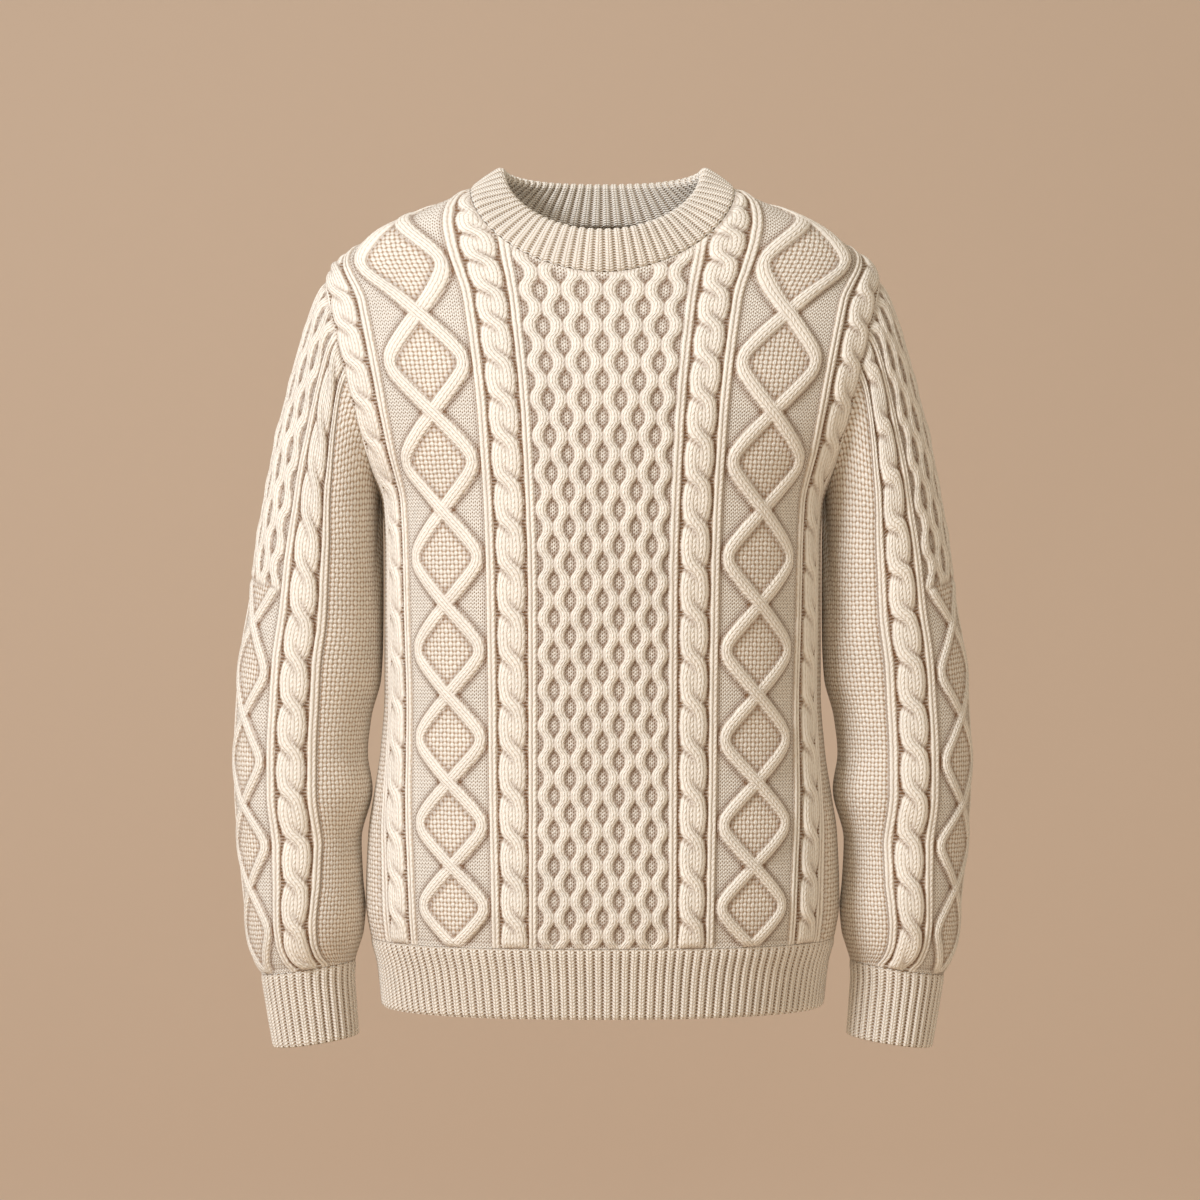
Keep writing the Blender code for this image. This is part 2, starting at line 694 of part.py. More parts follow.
PLAIN_COLUMNS = np.array([0, 30, 58, 85, 112, 140, 170, 198, 225, SIDE_SEAM])
PLAIN_ROWS = np.array([-560, -500, -430, -360, -300, -262, -235, -195, -150, -105, -70, -35])
MOSS_ROWS = np.array([-570, -520, -470, -420, -370, -320, -285, -262, -238, -205, -165, -120, -90, -70, -35])
SHOULDER = -105.0


def panel_lattices(low, high):
    side_strips = []
    for twist in (-1, 1):
        inner = rope(ROPE_IN, ROPE_COURSES, low, high, twist)
        outer = rope(ROPE_SIDE, ROPE_COURSES, low, high, twist)
        middle = diamonds(DIAMOND_MIDDLE, BODY_DIAMOND, DIAMOND_EDGE, DIAMOND_COURSES, low, high)
        strips = [denser(grid, SHOULDER) for grid in (inner, middle, outer)]
        rows = with_ends(MOSS_ROWS, low, high)
        side_strips.append(strips + [moss(np.linspace(MOSS_START + 3, SIDE_SEAM, 3), rows)])
    # Every rope twists the same way, so the mirrored ones start from the other twist.
    left = [mirrored(grid) for grid in side_strips[0]][::-1]
    centre = honeycomb(0.0, 4, HONEYCOMB_EDGE, CELL, HONEYCOMB_COURSES, low, high)
    return left + [centre] + side_strips[1]


def build_panel(name, side, cutters):
    low, high = HEM_SEAM + SEAM_GAP / 2, TOP_ROW
    mesh = bmesh.new()

    def surface(across, height, nominal):
        return torso_point(across, height, side, nominal)

    lattices = panel_lattices(low, high)
    for grid in lattices:
        places, _ = surface(grid["across"], grid["height"], grid["nominal"])
        keep = fade(armhole_distance(places, -1)) * fade(neck_distance(places, side))
        keep *= fade(grid["height"] - low) * fade(np.abs(places[..., 1]) - SEAM_GAP / 2, RIDGE_FADE)
        grid["rise"] = grid["rise"] * keep
    outer = Sheet(mesh, [[grid] for grid in lattices], surface)
    across = np.concatenate([-PLAIN_COLUMNS[:0:-1], PLAIN_COLUMNS])
    heights = np.concatenate([[low], PLAIN_ROWS, [high]])[:, None]
    inner = Sheet(mesh, [[lattice(across, heights, 0.0, across)]], surface, WALL)
    zip_edges(mesh, inner.row(0), outer.row(0))
    zip_edges(mesh, inner.row(-1), outer.row(-1))
    zip_edges(mesh, inner.side(0, 0), outer.side(0, 0))
    zip_edges(mesh, inner.side(-1, -1), outer.side(-1, -1))
    return finish(name, mesh, cutters)


def build_hem(name, side):
    top, bottom = HEM_SEAM - SEAM_GAP / 2, HEM_EDGE
    mesh = bmesh.new()

    def surface(across, height, nominal):
        return torso_surface(np.abs(across) / SIDE_SEAM, height, side, np.where(across < 0, -1.0, 1.0))

    across = np.linspace(-SIDE_SEAM, SIDE_SEAM, 2 * HEM_RIBS + 1)
    crest = np.where(np.arange(len(across)) % 2 == 1, WELT_RISE, GROUND)
    crest = np.where(np.abs(across) == SIDE_SEAM, 0.0, crest)
    heights = np.array([bottom, top])[:, None]
    outer = Sheet(mesh, [[lattice(across, heights, crest, across)]], surface)
    plain = np.linspace(-SIDE_SEAM, SIDE_SEAM, 25)
    inner = Sheet(mesh, [[lattice(plain, heights, 0.0, plain)]], surface, WALL)
    for index in (0, -1):
        zip_edges(mesh, inner.row(index), outer.row(index))
        zip_edges(mesh, inner.side(index, index), outer.side(index, index))
    return finish(name, mesh)


# ---------------------------------------------------------------- sleeves


def sleeve_heights():
    """Height of each ring where it crosses the rope line."""
    return SLEEVE[:, 1] + ROPE_LINE_SHARE * (SLEEVE[:, 3] - SLEEVE[:, 1])


SLEEVE_ORDER = np.argsort(sleeve_heights())
SLEEVE_CURVES = {
    name: curve_through(sleeve_heights()[SLEEVE_ORDER], SLEEVE[SLEEVE_ORDER, i])
    for i, name in enumerate(SLEEVE_COLUMNS)
}
RING_SHARES = np.linspace(0, 1, 161)
RING_LEVELS = np.arange(-708.0, -126.0, 3.0)


def armhole_depth(share, side):
    """Half depth of the armhole at a share of the way from shoulder point to underarm."""
    x = SHOULDER_POINT[0] + share * (UNDERARM[0] - SHOULDER_POINT[0])
    z = SHOULDER_POINT[1] + share * (UNDERARM[1] - SHOULDER_POINT[1])
    return torso_depth(x, z, side)


def sleeve_ring(height):
    """A ring at even arc shares: from the outer edge by the front to the inner edge and back."""
    size = {name: float(curve(height)) for name, curve in SLEEVE_CURVES.items()}
    turn = np.linspace(0, 2 * math.pi, 721)
    share = (1 - np.cos(turn)) / 2
    x = size["outer_x"] + share * (size["inner_x"] - size["outer_x"])
    z = size["outer_z"] + share * (size["inner_z"] - size["outer_z"])
    fitted = np.where(turn < math.pi, -armhole_depth(share, FRONT), armhole_depth(share, BACK))
    free = -size["half_depth"] * np.sin(turn)
    part = size["armhole_share"]
    y = part * fitted + (1 - part) * (free + size["shift_y"])
    points = np.stack([x, y, z], axis=1)
    arc = np.concatenate([[0], np.cumsum(np.linalg.norm(np.diff(points, axis=0), axis=1))])
    even = RING_SHARES * arc[-1]
    return [np.interp(even, arc, points[:, axis]) for axis in range(3)], arc[-1]


def ring_table():
    rings = [sleeve_ring(level) for level in RING_LEVELS]
    tables = [np.array([ring[0][axis] for ring in rings]) for axis in range(3)]
    return tables, np.array([ring[1] for ring in rings])


RINGS, RING_LENGTHS = ring_table()


def ring_point(height, share):
    level = np.clip((height - RING_LEVELS[0]) / (RING_LEVELS[1] - RING_LEVELS[0]), 0, len(RING_LEVELS) - 1.001)
    place = (share % 1.0) * (len(RING_SHARES) - 1)
    i, j = level.astype(int), np.clip(place.astype(int), 0, len(RING_SHARES) - 2)
    a, b = level - i, place - j
    axes = []
    for table in RINGS:
        low = table[i, j] * (1 - b) + table[i, j + 1] * b
        high = table[i + 1, j] * (1 - b) + table[i + 1, j + 1] * b
        axes.append(low * (1 - a) + high * a)
    return np.stack(axes, axis=-1)


def sleeve_point(hand):
    """The surface of one sleeve: across runs round it from the top-of-arm line by the front."""

    def surface(across, height, nominal):
        length = np.interp(height, RING_LEVELS, RING_LENGTHS)
        start = SLEEVE_MOSS * np.interp(height, DRAW_IN[:, 0], DRAW_IN[:, 1])
        past = (across - SLEEVE_MOSS) / (SLEEVE_ROUND - 2 * SLEEVE_MOSS)
        arc = np.where(across > SLEEVE_MOSS, start + past * (length - 2 * start), across / SLEEVE_MOSS * start)
        return ring_surface(height, arc / length, hand)

    return surface


def ring_surface(height, share, hand):
    """(points, normals) of a sleeve at shares of the way round each ring."""
    place = ring_point(height, share)
    along = ring_point(height, share + 0.006) - ring_point(height, share - 0.006)
    up = ring_point(height + 1.5, share) - ring_point(height - 1.5, share)
    run_x = SLEEVE_CURVES["inner_x"](height) - SLEEVE_CURVES["outer_x"](height)
    run_z = SLEEVE_CURVES["inner_z"](height) - SLEEVE_CURVES["outer_z"](height)
    away = unit(np.stack([-run_z, 0 * run_z, run_x], axis=-1))
    normal = flattened(unit(np.cross(up, along)), away, at_edge(height, CUFF_SEAM, CUFF_EDGE))
    mirror = np.array([hand, 1, 1])
    return place * mirror, normal * mirror


def sleeve_column(low, high):
    """The two columns beside the top-of-arm rib: honeycomb over the upper arm, diamonds below it."""
    end, edge = SLEEVE_HONEYCOMB_END, SLEEVE_COLUMN_EDGE
    lower = diamonds(SLEEVE_COLUMN, SLEEVE_DIAMOND, edge, SLEEVE_DIAMOND_COURSES, low, end - 4)
    upper = honeycomb(SLEEVE_COLUMN, 2, edge, SLEEVE_CELL, SLEEVE_HONEYCOMB_COURSES, end + 4, high)
    return [paired(lower), paired(upper)]


def build_sleeve(name, hand, cutters):
    low, high = CUFF_SEAM + SEAM_GAP / 2, SLEEVE_TOP
    strips = [
        [rope(-SLEEVE_ROPE, SLEEVE_ROPE_COURSES, low, high, -hand)],
        sleeve_column(low, high),
        [rope(SLEEVE_ROPE, SLEEVE_ROPE_COURSES, low, high, -hand)],
        [moss(np.linspace(SLEEVE_MOSS, SLEEVE_ROUND - SLEEVE_MOSS, 7), np.linspace(low, high, 14))],
    ]
    mesh = bmesh.new()
    surface = sleeve_point(hand)
    for grid in [grid for strip in strips for grid in strip]:
        places, _ = surface(grid["across"], grid["height"], grid["nominal"])
        grid["rise"] = grid["rise"] * fade(armhole_distance(places, 1)) * fade(grid["height"] - low)
    outer = Sheet(mesh, strips, surface, closed=True)
    plain = np.array([-99, -82, -60, -30, 0, 30, 60, 82, 99, 125, 155, 180, 205, 235])
    heights = np.linspace(low, high, 14)[:, None]
    inner = Sheet(mesh, [[lattice(plain, heights, 0.0, plain)]], surface, WALL, closed=True)
    for index in (0, -1):
        zip_loops(mesh, inner.row(index), outer.row(index))
    return finish(name, mesh, cutters)


def zip_loops(mesh, first, second):
    """Joins two closed rows, each of which ends where it starts."""
    first = first + [(first[0][0] + SLEEVE_ROUND, first[0][1])]
    second = second + [(second[0][0] + SLEEVE_ROUND, second[0][1])]
    zip_edges(mesh, first, second)


def build_cuff(name, hand):
    top, bottom = CUFF_SEAM - SEAM_GAP / 2, CUFF_EDGE
    mesh = bmesh.new()

    def surface(across, height, nominal):
        return ring_surface(height, across / SLEEVE_ROUND, hand)

    across = np.linspace(0, SLEEVE_ROUND, 2 * CUFF_RIBS + 1)[:-1]
    crest = np.where(np.arange(len(across)) % 2 == 1, WELT_RISE, GROUND)
    heights = np.array([bottom, top])[:, None]
    outer = Sheet(mesh, [[lattice(across, heights, crest, across)]], surface, closed=True)
    plain = np.linspace(0, SLEEVE_ROUND, 17)[:-1]
    inner = Sheet(mesh, [[lattice(plain, heights, 0.0, plain)]], surface, WALL, closed=True)
    for index in (0, -1):
        zip_loops(mesh, inner.row(index), outer.row(index))
    return finish(name, mesh)


# ---------------------------------------------------------------- neckband

BAND_SECTION_COLUMNS = ("up", "out", "ribbed")
BAND_SECTION = (
    (0.0, 0.4, 0.8),
    (0.88, 0.7, 1.0),
    (1.0, -0.5 * BAND_THICKNESS, 0.3),
    (0.88, -BAND_THICKNESS, 1.0),
    (0.05, -0.7 * BAND_THICKNESS, 0.0),
)


def band_top(base):
    """Upper outer edge of the neckband over each point of the neckline."""
    side = np.where(base[:, 1] < 0, FRONT, BACK)
    reach = np.where(side == FRONT, NECK_BASE_DEPTH[FRONT], NECK_BASE_DEPTH[BACK])
    turn = np.arctan2(np.abs(base[:, 1]) / reach, base[:, 0] / NECK_HALF_WIDTH)
    depth = np.where(side == FRONT, BAND_TOP_DEPTH[FRONT], BAND_TOP_DEPTH[BACK])
    drop = np.where(side == FRONT, BAND_TOP_DROP[FRONT], BAND_TOP_DROP[BACK])
    height = BAND_TOP_SIDE - drop * (np.hypot(np.sin(turn), BAND_TOP_ROUND) - BAND_TOP_ROUND)
    return np.stack([BAND_TOP_HALF_WIDTH * np.cos(turn), side * depth * np.sin(turn), height], axis=1)


NECK_BASE_DEPTH = {side: float(torso_depth(0.0, -NECK_DROP[side], side)) for side in (FRONT, BACK)}


def build_neckband():
    base = neck_curve()
    top = band_top(base)
    rise = top - base
    length = np.linalg.norm(rise, axis=1, keepdims=True)
    run = np.roll(base, -1, axis=0) - np.roll(base, 1, axis=0)
    middle = (base + top) / 2 - (base + top).mean(axis=0) / 2
    # Across the band's wall, and the matching directions within the body's cut edge under it.
    out = unit(np.cross(np.roll(middle, -1, axis=0) - np.roll(middle, 1, axis=0), rise))
    out *= np.sign(np.sum(out * middle, axis=1, keepdims=True))
    lifted = unit(np.stack([-run[:, 2], 0 * run[:, 1], run[:, 0]], axis=1))
    lifted *= np.sign(np.sum(lifted * rise, axis=1, keepdims=True))
    cut_out = unit(np.cross(run, lifted))
    cut_out *= np.sign(np.sum(cut_out * out, axis=1, keepdims=True))
    crest = np.where(np.arange(len(base)) % 2 == 1, WELT_RISE, 0.0)[:, None]
    rows = []
    for part, across, ribbed in BAND_SECTION:
        direction = unit(out * part + cut_out * (1 - part))
        if -BAND_THICKNESS < across < -1:
            lift = unit(rise) * crest * ribbed
        else:
            lift = direction * crest * ribbed * (1 if across > -1 else -1)
        rows.append(base + lifted * SEAM_GAP + rise * part + direction * across + lift)
    mesh = bmesh.new()
    loops = np.stack(rows + rows[:1])
    add_grid(mesh, np.concatenate([loops, loops[:, :1]], axis=1))
    return finish("neckband", mesh)


# ---------------------------------------------------------------- the sweater

GARMENT = "cable_knit_sweater"
CUTTERS = "cutters"


def main():
    for item in list(bpy.data.objects):
        bpy.data.objects.remove(item, do_unlink=True)
    for name in (GARMENT, CUTTERS):
        bpy.context.scene.collection.children.link(bpy.data.collections.new(name))
    outside = [armhole_cutter("cutter_armhole_left", 1, True), armhole_cutter("cutter_armhole_right", -1, True)]
    build_panel("front", FRONT, [neck_cutter(FRONT), *outside])
    build_panel("back", BACK, [neck_cutter(BACK), *outside])
    build_sleeve("sleeve_left", 1, [armhole_cutter("cutter_body_left", 1, False)])
    build_sleeve("sleeve_right", -1, [armhole_cutter("cutter_body_right", -1, False)])
    build_neckband()
    build_hem("hem_front", FRONT)
    build_hem("hem_back", BACK)
    build_cuff("cuff_left", 1)
    build_cuff("cuff_right", -1)


main()
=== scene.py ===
# %% [markdown]
# # A cable knit sweater
#
# An Aran pullover is knitted in flat panels and tubes from thick undyed wool. Its look comes from
# strands of knit stitches that cross over one another on a purl ground: honeycomb down the middle,
# ropes and diamonds beside it, moss stitch at the sides, and ribs at every edge. Here each panel is a
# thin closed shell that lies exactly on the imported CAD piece. The mesh carries the strands, and the
# materials carry the single stitches, because those are finer than a mesh of sensible size.

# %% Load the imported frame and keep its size
import math

import bmesh
import bpy
import numpy as np
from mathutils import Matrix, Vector


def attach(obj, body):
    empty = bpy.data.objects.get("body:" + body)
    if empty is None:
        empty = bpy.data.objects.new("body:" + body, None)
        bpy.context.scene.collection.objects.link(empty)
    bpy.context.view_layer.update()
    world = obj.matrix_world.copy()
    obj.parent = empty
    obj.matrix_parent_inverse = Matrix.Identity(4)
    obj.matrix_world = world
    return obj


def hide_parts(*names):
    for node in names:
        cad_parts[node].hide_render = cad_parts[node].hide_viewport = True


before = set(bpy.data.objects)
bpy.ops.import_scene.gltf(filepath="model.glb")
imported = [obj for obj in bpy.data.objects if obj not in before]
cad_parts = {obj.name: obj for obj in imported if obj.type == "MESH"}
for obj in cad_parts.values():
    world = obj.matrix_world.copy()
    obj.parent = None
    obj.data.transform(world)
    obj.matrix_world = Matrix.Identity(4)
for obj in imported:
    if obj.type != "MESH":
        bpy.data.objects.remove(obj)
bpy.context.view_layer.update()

# %% [markdown]
# ## The form of the worn sweater
#
# A knitter thinks of cloth as columns (wales) and rows (courses). So every point of a piece is given
# by its place across the fabric and its height, and a surface function says where that point lies on
# the body. The tables below are the same ones that shape the CAD solids. They could be modelled by
# hand instead, but then the patterns wouldn't follow the curves of the chest and the shoulders.

# %% Sizes that the pieces share, in millimetres
MM = 0.001
FRONT, BACK = -1, 1
WALL = 2.6
SEAM_GAP = 0.3
HEM_SEAM, HEM_EDGE = -618.0, -675.0
CUFF_SEAM, CUFF_EDGE = -643.5, -705.5
TOP_ROW = 6.0
SIDE_SEAM = 252.0
SLEEVE_ROUND = 360.0
SHOULDER_POINT = (228.6, -78.0)
UNDERARM = (182.0, -262.0)

TORSO_COLUMNS = ("height", "half_width", "front_depth", "back_depth", "squareness")
TORSO = np.array([
    (-676, 181.0, 119, 117, 2.30), (-640, 185.0, 124, 121, 2.35), (-614, 191.5, 129, 125, 2.40),
    (-589, 195.0, 132, 126, 2.40), (-533, 193.0, 130, 120, 2.40), (-502, 188.5, 128, 116, 2.40),
    (-465, 183.0, 127, 113, 2.40), (-415, 179.5, 127, 112, 2.40), (-300, 179.5, 129, 115, 2.40),
    (-262, 181.5, 128, 117, 2.35), (-215, 207.0, 125, 117, 2.30), (-170, 232.0, 118, 113, 2.25),
    (-130, 243.0, 106, 106, 2.20), (-100, 239.0, 95, 97, 2.20), (-78, 229.5, 87, 88, 2.20),
    (-60, 217.0, 80, 80, 2.15), (-40, 193.0, 73, 71, 2.10), (-20, 153.0, 66, 62, 2.10),
    (-10, 131.0, 63, 58, 2.05), (0, 109.6, 59, 54, 2.00), (10, 90.0, 55, 50, 2.00),
])
# How the columns fan out over the chest and shoulders, and draw in to the hem
FAN_COLUMNS = ("height", "honeycomb_stretch", "outer_stretch")
FAN = np.array([
    (-618, 1.00, 0.88), (-553, 1.00, 0.91), (-486, 1.00, 0.95), (-412, 1.00, 0.97),
    (-340, 1.00, 1.00), (-205, 1.09, 1.03), (-98, 1.29, 1.10), (-55, 1.43, 1.27),
    (-30, 1.50, 1.33), (10, 1.55, 1.35),
])
HONEYCOMB_EDGE, MOSS_START = 51.5, 207.0
print("from the neck point to the hem's edge:", -HEM_EDGE, "mm")


# %% Smooth curves through the tables
def curve_through(heights, values):
    """A smooth curve through the rows of a table that never overshoots them."""
    steps = np.diff(heights)
    rises = np.diff(values) / steps
    slopes = np.zeros(len(heights))
    turning = rises[:-1] * rises[1:]
    same = turning > 0
    slopes[1:-1][same] = 2 * turning[same] / (rises[:-1] + rises[1:])[same]
    slopes[0], slopes[-1] = rises[0], rises[-1]

    def value(at):
        at = np.clip(at, heights[0], heights[-1])
        i = np.clip(np.searchsorted(heights, at, side="right") - 1, 0, len(heights) - 2)
        t = (at - heights[i]) / steps[i]
        rest = 1 - t
        start = (1 + 2 * t) * rest**2 * values[i] + t * rest**2 * steps[i] * slopes[i]
        end = t**2 * (3 - 2 * t) * values[i + 1] - t**2 * rest * steps[i] * slopes[i + 1]
        return start + end

    return value


def table_curves(rows, names):
    return {name: curve_through(rows[:, 0], rows[:, i + 1]) for i, name in enumerate(names[1:])}


TORSO_CURVES = table_curves(TORSO, TORSO_COLUMNS)
FAN_CURVES = table_curves(FAN, FAN_COLUMNS)
LEVELS = np.arange(-680.0, 9.0, 1.5)
SHARES = np.linspace(0.0, 1.0, 129)
print("torso half width at the chest:", round(float(TORSO_CURVES["half_width"](-300.0)), 1), "mm")


# %% Level sections of the torso, read by height and share of the way round
def unit(vectors):
    return vectors / np.linalg.norm(vectors, axis=-1, keepdims=True)


def quarter_section(height, side):
    """Points at even arc shares from the centre line to the side, and the arc's length."""
    half_width = TORSO_CURVES["half_width"](height)
    depth = TORSO_CURVES["front_depth" if side == FRONT else "back_depth"](height)
    power = 2 / TORSO_CURVES["squareness"](height)
    turn = np.linspace(0, math.pi / 2, 361)
    x = half_width * np.sin(turn) ** power
    y = depth * np.abs(np.cos(turn)) ** power
    y[-1] = 0.0
    arc = np.concatenate([[0], np.cumsum(np.hypot(np.diff(x), np.diff(y)))])
    even = SHARES * arc[-1]
    return np.interp(even, arc, x), np.interp(even, arc, y), arc[-1]


def section_table(side):
    rows = [quarter_section(level, side) for level in LEVELS]
    return tuple(np.array([row[i] for row in rows]) for i in range(3))


SECTIONS = {FRONT: section_table(FRONT), BACK: section_table(BACK)}
chest = 2 * sum(np.interp(-300.0, LEVELS, table[2]) for table in SECTIONS.values())
print("girth at the chest:", round(chest), "mm")


# %% Read a section between its rows, and level off the edges
def row_at(height, levels):
    """The row of a table, with its fraction, for heights at even levels."""
    return np.clip((height - levels[0]) / (levels[1] - levels[0]), 0, len(levels) - 1.001)


def read_table(table, row, column):
    i, j = row.astype(int), np.clip(column.astype(int), 0, table.shape[1] - 2)
    a, b = row - i, column - j
    low = table[i, j] * (1 - b) + table[i, j + 1] * b
    high = table[i + 1, j] * (1 - b) + table[i + 1, j + 1] * b
    return low * (1 - a) + high * a


def at_edge(height, seam, edge):
    return (np.abs(height - seam) < SEAM_GAP) | (height < edge + SEAM_GAP)


def flattened(normals, away, where):
    """Turns the normals of an edge row into that edge's plane, so that its sides end level."""
    level = normals - np.sum(normals * away, axis=-1, keepdims=True) * away
    return np.where(where[..., None], unit(level), normals)


# %% The torso's surface
def torso_surface(share, height, side, sign):
    """(points, normals) of the torso at shares of the way from the centre line to the side."""
    def at(level, part):
        column = np.clip(part, 0, 1) * (len(SHARES) - 1.001)
        x, y = (read_table(table, row_at(level, LEVELS), column) for table in SECTIONS[side][:2])
        return np.stack([x, side * y, level + 0 * x], axis=-1)

    place = at(height, share)
    along = at(height, np.clip(share + 0.01, 0, 1)) - at(height, np.clip(share - 0.01, 0, 1))
    up = at(height + 1.5, share) - at(height - 1.5, share)
    normal = np.cross(along, up) * -side
    normal[..., 1] = np.where(share > 0.999, 0.0, normal[..., 1])
    normal = flattened(unit(normal), np.array([0.0, 0.0, 1.0]), at_edge(height, HEM_SEAM, HEM_EDGE))
    place[..., 1] = side * np.maximum(side * place[..., 1], SEAM_GAP / 2)
    # The back is seen from behind, so its columns run the other way.
    mirror = np.stack([sign * -side, 1 + 0 * sign, 1 + 0 * sign], axis=-1)
    return place * mirror, normal * mirror


# %% Columns of stitches on a panel, up to the shoulder ridge
def arc_share(across, height, side):
    """Share of the section's arc at which a column of stitches lies; over 1 is past the ridge."""
    inner = HONEYCOMB_EDGE * FAN_CURVES["honeycomb_stretch"](height)
    outer = inner + (MOSS_START - HONEYCOMB_EDGE) * FAN_CURVES["outer_stretch"](height)
    length = np.interp(height, LEVELS, SECTIONS[side][2])
    middle = inner + (across - HONEYCOMB_EDGE) * FAN_CURVES["outer_stretch"](height)
    moss = outer + (length - outer) * (across - MOSS_START) / (SIDE_SEAM - MOSS_START)
    arc = np.where(across < HONEYCOMB_EDGE, across * inner / HONEYCOMB_EDGE, middle)
    arc = np.where(across > MOSS_START, np.where(length > outer, moss, length + 1), arc)
    return arc / length


def ridge_table(side):
    """Height at which each column meets the shoulder ridge; far above it if it never does."""
    heights = np.arange(SHOULDER_POINT[1] - 20, TOP_ROW, 0.1)
    columns = np.arange(0.0, MOSS_START + 0.5, 0.5)
    shares = arc_share(columns[:, None], heights[None, :], side)
    met = shares.max(axis=1) >= 1
    return columns, np.where(met, heights[np.argmax(shares >= 1, axis=1)], TOP_ROW + 30)


RIDGES = {side: ridge_table(side) for side in (FRONT, BACK)}
ridge_at_moss = float(np.interp(MOSS_START, *RIDGES[FRONT]))
print("height of the shoulder ridge where the moss stitch starts:", round(ridge_at_moss, 1), "mm")


# %% The surfaces of a panel and of its hem
def panel_surface(side):
    def surface(across, height):
        ridge = np.interp(np.minimum(np.abs(across), MOSS_START), *RIDGES[side])
        ended = height >= ridge - 1e-6
        share = np.where(ended, 1.0, np.clip(arc_share(np.abs(across), height, side), 0, 1))
        return torso_surface(share, np.minimum(height, ridge), side, np.where(across < 0, -1.0, 1.0))

    return surface


def hem_surface(side):
    def surface(across, height):
        return torso_surface(np.abs(across) / SIDE_SEAM, height, side, np.where(across < 0, -1.0, 1.0))

    return surface


# %% Where the panels end: the armhole's plane and the scooped neckline
NECK_HALF_WIDTH = 109.6
NECK_DROP = {FRONT: 76.4, BACK: 21.0}
NECK_SQUARENESS = {FRONT: 1.85, BACK: 2.2}


def armhole_distance(places):
    """Distance of a panel's points inwards from the armhole's plane, or from the underarm."""
    run = np.array(UNDERARM) - np.array(SHOULDER_POINT)
    run = run / np.linalg.norm(run)
    out = np.array([-run[1], run[0]])
    flat = np.stack([np.abs(places[..., 0]), places[..., 2]], axis=-1) - np.array(UNDERARM)
    past = np.maximum(flat @ run, 0)
    across = -(flat @ out)
    return np.where(past > 0, np.hypot(past, across), across)


def neck_distance(places, side):
    drop, power = NECK_DROP[side], NECK_SQUARENESS[side]
    below = np.maximum(-places[..., 2], 0) / drop
    out = np.abs(places[..., 0]) / NECK_HALF_WIDTH
    reach = (out**power + below**power) ** (1 / power)
    size = (out * NECK_HALF_WIDTH + below * drop) / np.maximum(out + below, 0.01)
    return (reach - 1) * np.where(reach > 0, size, 1)


def torso_depth(x, height, side):
    """How far the torso's surface lies from the middle plane at a place seen from the front."""
    half_width = TORSO_CURVES["half_width"](height)
    depth = TORSO_CURVES["front_depth" if side == FRONT else "back_depth"](height)
    power = TORSO_CURVES["squareness"](height)
    out = np.clip(np.abs(x) / half_width, 0, 1)
    return depth * (1 - out**power) ** (1 / power)


scoop = float(torso_depth(0.0, -NECK_DROP[FRONT], FRONT))
print("the neck scoop's lowest point is", round(scoop), "mm in front of the middle")


# %% [markdown]
# ## The sleeves' form
#
# A sleeve is a tube of rings. Each ring lies in a plane from the outer edge of the arm to its inner
# edge, so the tube can lean, bend at the elbow and crumple a little above the cuff. A curve object
# with a bevel would be quicker, but its rings are round, and these start as the armhole's outline.

# %% Rings of the sleeves
SLEEVE_COLUMNS = ("outer_x", "outer_z", "inner_x", "inner_z", "half_depth", "shift_y", "armhole_share")
SLEEVE = np.array([
    (203.0, -46.0, 182.2, -232.0, 64, 0.0, 1.00), (228.6, -78.0, 182.0, -262.0, 64, 0.0, 1.00),
    (236.5, -92.0, 182.6, -270.0, 64, 0.0, 0.97), (245.0, -116.0, 182.8, -278.0, 64, 0.0, 0.90),
    (253.0, -143.0, 182.8, -286.0, 64, -0.5, 0.80), (260.5, -172.0, 182.8, -296.0, 63, -1.0, 0.66),
    (268.5, -203.0, 182.8, -308.0, 62, -1.5, 0.50), (276.0, -243.0, 182.8, -324.0, 61, -2.0, 0.32),
    (284.5, -291.0, 182.8, -346.0, 60, -3.0, 0.14), (290.5, -338.0, 183.0, -374.0, 59, -4.5, 0.04),
    (297.5, -380.0, 184.5, -404.0, 58, -6.0, 0.0), (301.5, -425.0, 192.5, -437.0, 56, -8.0, 0.0),
    (303.0, -465.0, 195.5, -467.0, 56, -9.5, 0.0), (302.5, -500.0, 191.5, -497.0, 57, -10.5, 0.0),
    (299.5, -540.0, 200.5, -538.0, 53, -12.0, 0.0), (296.0, -575.0, 199.0, -571.0, 53, -13.0, 0.0),
    (293.0, -602.0, 197.0, -594.0, 52, -13.5, 0.0), (290.5, -622.0, 198.5, -613.0, 48, -14.0, 0.0),
    (286.0, -638.0, 202.5, -627.0, 42, -14.5, 0.0), (281.0, -647.0, 205.0, -635.5, 37, -15.0, 0.0),
    (278.5, -660.0, 206.5, -649.0, 35, -15.0, 0.0), (274.5, -684.0, 205.0, -673.0, 33.5, -15.5, 0.0),
    (270.0, -709.0, 203.0, -699.0, 33, -16.0, 0.0),
])
ROPE_LINE_SHARE = 0.43
SLEEVE_MOSS = 104.0
DRAW_IN = np.array([(-645, 0.76), (-610, 0.86), (-575, 0.95), (-540, 1.0), (-100, 1.0)])

